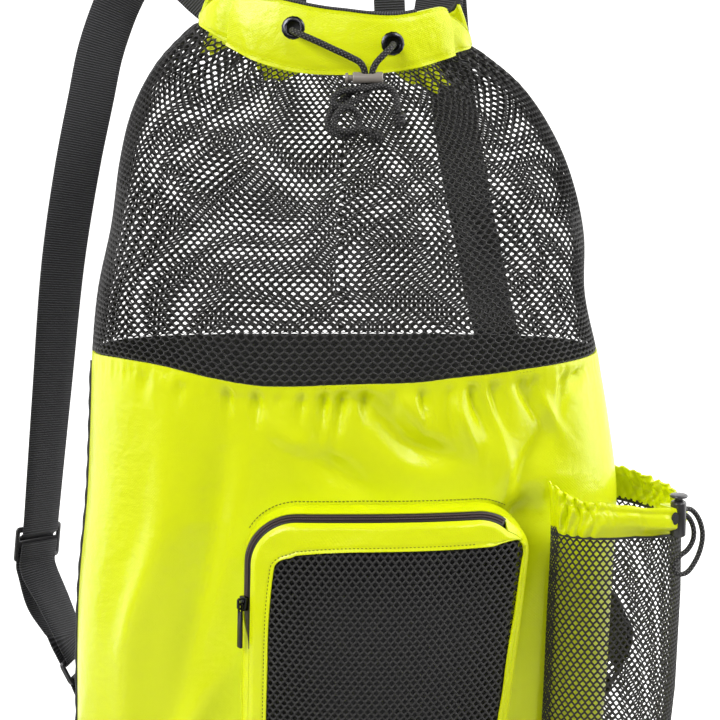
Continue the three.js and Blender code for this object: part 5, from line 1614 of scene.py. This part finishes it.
class BACKPACK_OT_straps(bpy.types.Operator):
    """Webbing shoulder straps with their sliders, rings and tabs, and the grab handle"""

    bl_idname = "backpack.straps"
    bl_label = "Straps and handle"

    def execute(self, context):
        self.strap("left", STRAP_LEFT)
        self.strap("right", STRAP_RIGHT)
        points, faces = strap_rows([(-x, y, z, up, -side) for x, y, z, up, side in HANDLE_HALF[:-1]])
        other, looks = strap_rows(HANDLE_HALF[::-1])
        points, faces = smooth_strip(np.vstack([points, other]), np.vstack([faces, looks]), 2)
        handle = webbing_strip("grab_handle", points, faces, sizes().handle_wide / MM, WEBBING_THICK)
        finish_piece(handle, ribbed_webbing(), ["grab_handle"])
        return {"FINISHED"}

    def strap(self, side, table):
        wide = sizes().webbing_wide / MM
        flip = 1 if side == "left" else -1
        mirrored = lambda v: np.array(v, float) * (flip, 1, 1)
        along, across = unit(mirrored(ANCHOR_ALONG)), unit(mirrored(ANCHOR_ACROSS))
        out = np.cross(along, across) * flip
        back = -out
        ring = mirrored(ANCHOR_RING)
        reach = (RING_LONG - RING_WIRE) / 2
        low_bar, high_bar = ring - along * reach, ring + along * reach
        radius = RING_WIRE * math.sqrt(0.5) + RING_ROOM + WEBBING_THICK / 2

        angle = math.pi - ANCHOR_ROOT_ANGLE if flip > 0 else ANCHOR_ROOT_ANGLE
        turns = np.array([angle - 0.01, angle, angle + 0.01])
        near = bag_point(np.full(3, float(ANCHOR_ROOT_HEIGHT)), turns, -WEBBING_THICK / 2 - 0.3)
        root, root_face = near[1], unit(np.cross(near[2] - near[0], (0, 0, 1)))
        sewn = np.array((0, 0, -ANCHOR_SEWN), float)
        outer_root = root + root_face * (WEBBING_THICK + 0.7)
        turn_points, turn_faces = wrap(low_bar, back, along, radius)
        points = np.vstack([root + sewn, root, turn_points, outer_root, outer_root + sewn])
        faces = np.vstack([-root_face, -root_face, turn_faces, root_face, root_face])
        points, faces = smooth_strip(points, faces, 1.5)
        tab = webbing_strip("strap_tab_" + side, points, faces, wide, WEBBING_THICK)
        finish_piece(tab, ribbed_webbing(), ["strap_tab_" + side])

        rows, looks = strap_rows(table)
        run = unit(rows[-1] - rows[-2])
        face = unit(looks[-1] - run * (looks[-1] @ run))
        off = SLIDER_THICK / 2 + WEBBING_THICK / 2 + 0.8
        slider = rows[-1] + run * 22 + face * off
        line, look = smooth_strip(rows, looks, 6)
        points, faces = [line], [look]
        for distance in SLIDER_STEPS:
            through = ease(-9.6, -4.4, np.array(float(distance)))
            points.append((slider + run * distance + face * (2 * off * through - off))[None])
            faces.append(face[None])
        behind = slider + run * (SLIDER_LONG / 2 + 5) + face * off
        arrive = high_bar + along * RING_LEAD + out * radius
        middle = behind + (arrive - behind) * 0.6 + face * 11
        down = np.vstack([behind, middle, arrive])
        line, look = smooth_strip(down, np.vstack([face, (face + out) / 2, out]), 6)
        points.append(line)
        faces.append(look)
        line, look = wrap(high_bar, out, -along, radius)
        points.append(line)
        faces.append(look)
        leave = high_bar + along * RING_LEAD + back * radius
        front = slider + run * (SLIDER_LONG / 2 + 5) - face * off
        under = slider - face * off
        up = np.vstack([leave, (leave + front) / 2, front, under + run * SLIDER_MIDDLE, under - run])
        line, look = smooth_strip(up, np.vstack([back, (back - face) / 2, -face, -face, -face]), 6)
        points.append(line)
        faces.append(look)
        points, faces = smooth_strip(np.vstack(points), np.vstack(faces), 2.2)
        strap = webbing_strip("shoulder_strap_" + side, points, faces, wide, WEBBING_THICK)
        finish_piece(strap, ribbed_webbing(), ["shoulder_strap_" + side])
        for part, width in (("slider", 0.8), ("ring", 1.0)):
            hard_piece("strap_" + part + "_" + side, moulded_acetal("plastic"), width, 3)


# Camera: what it looks at, its tilt and distance, and the size of its square picture's pixels at that place
CAMERA_AIM = (0.016, 0, 0.375)
CAMERA_TILT, CAMERA_AWAY = math.radians(11), 1.6
SENSOR_WIDE, PICTURE_PIXELS, PIXEL_MM = 36, 720, 0.81
LAMP_AIM = (0, 0, 0.4)


class BACKPACK_OT_stage(bpy.types.Operator):
    """Pale floor, soft studio light and the camera"""

    bl_idname = "backpack.stage"
    bl_label = "Stage"

    def execute(self, context):
        scene = context.scene
        # A lit white table and wall, as a product is photographed on
        glow = (
            ("floor", 1.4, 0.0, (0, 0, -0.0005), (0, 0, 0)),
            ("table", 12, 0.9, (0, 6.14, 0), (0, 0, 0)),
            ("backdrop", 30, 1.0, (0, 5.9, 0), (90, 0, 0)),
        )
        for name, wide, strength, place, turn in glow:
            no_selection()
            bpy.ops.mesh.primitive_plane_add(size=wide, location=place, rotation=np.radians(turn))
            sheet = context.object
            sheet.name = name
            material, _, shader = new_material("lit_white_" + name)
            shader.inputs["Base Color"].default_value = linear("C8C8C6")
            shader.inputs["Roughness"].default_value = 0.9
            shader.inputs["Emission Color"].default_value = (1, 1, 1, 1)
            shader.inputs["Emission Strength"].default_value = strength
            sheet.data.materials.append(material)

        world = bpy.data.worlds.new("studio")
        world.use_nodes = True
        sky = world.node_tree.nodes["Background"]
        sky.inputs["Color"].default_value = (1, 1, 1, 1)
        sky.inputs["Strength"].default_value = 0.12
        scene.world = world

        lamps = (
            ("left_wall", (-1.3, 0.1, 0.95), 2.0, 13.0),
            ("right_wall", (1.3, 0.1, 0.95), 2.0, 25.0),
            ("left_softbox", (-1.1, -1.6, 1.2), 0.8, 6.0),
            ("right_softbox", (1.2, -1.2, 2.0), 0.8, 13.0),
            ("front_softbox", (-0.3, -2.0, 1.7), 0.8, 4.0),
            ("key_softbox", (-1.2, -1.4, 1.8), 1.0, 26.0),
        )
        for name, place, size, power in lamps:
            data = bpy.data.lights.new(name, "AREA")
            data.shape = "DISK"
            data.size = size
            data.energy = power
            lamp = bpy.data.objects.new(name, data)
            lamp.location = place
            aim = Vector(LAMP_AIM) - lamp.location
            lamp.rotation_euler = aim.to_track_quat("-Z", "Y").to_euler()
            scene.collection.objects.link(lamp)

        back = Vector((0, -math.cos(CAMERA_TILT), math.sin(CAMERA_TILT)))
        data = bpy.data.cameras.new("camera")
        data.sensor_width = SENSOR_WIDE
        data.lens = SENSOR_WIDE * CAMERA_AWAY / (PICTURE_PIXELS * PIXEL_MM * MM)
        data.clip_end = 100
        camera = bpy.data.objects.new("camera", data)
        camera.location = Vector(CAMERA_AIM) + back * CAMERA_AWAY
        camera.rotation_euler = (-back).to_track_quat("-Z", "Y").to_euler()
        scene.collection.objects.link(camera)
        scene.camera = camera
        scene.view_settings.view_transform = "Standard"
        return {"FINISHED"}


class BACKPACK_PT_sidebar(bpy.types.Panel):
    """Sizes, colours and building steps of the backpack"""

    bl_label = "Mesh Backpack"
    bl_idname = "BACKPACK_PT_sidebar"
    bl_space_type = "VIEW_3D"
    bl_region_type = "UI"
    bl_category = "Backpack"

    def draw(self, context):
        for group in (sizes(), colours()):
            for name in group.__annotations__:
                self.layout.prop(group, name)
        for step in STEPS:
            self.layout.operator(step.bl_idname)


STEPS = (
    BACKPACK_OT_stage,
    BACKPACK_OT_drawcords,
    BACKPACK_OT_lower_cloth,
    BACKPACK_OT_back_cloth,
    BACKPACK_OT_net_walls,
    BACKPACK_OT_collar,
    BACKPACK_OT_front_pocket,
    BACKPACK_OT_bottle_pocket,
    BACKPACK_OT_straps,
)
CLASSES = (BackpackSizes, BackpackColours, *STEPS, BACKPACK_PT_sidebar)


def register():
    for item in CLASSES:
        bpy.utils.register_class(item)
    bpy.types.Scene.backpack_sizes = bpy.props.PointerProperty(type=BackpackSizes)
    bpy.types.Scene.backpack_colours = bpy.props.PointerProperty(type=BackpackColours)


def unregister():
    del bpy.types.Scene.backpack_colours
    del bpy.types.Scene.backpack_sizes
    for item in reversed(CLASSES):
        bpy.utils.unregister_class(item)


def main():
    register()
    bpy.ops.backpack.stage()
    bpy.ops.backpack.drawcords()
    bpy.ops.backpack.lower_cloth()
    bpy.ops.backpack.back_cloth()
    bpy.ops.backpack.net_walls()
    bpy.ops.backpack.collar()
    bpy.ops.backpack.front_pocket()
    bpy.ops.backpack.bottle_pocket()
    bpy.ops.backpack.straps()
    no_selection()


if __name__ == "__main__":
    main()
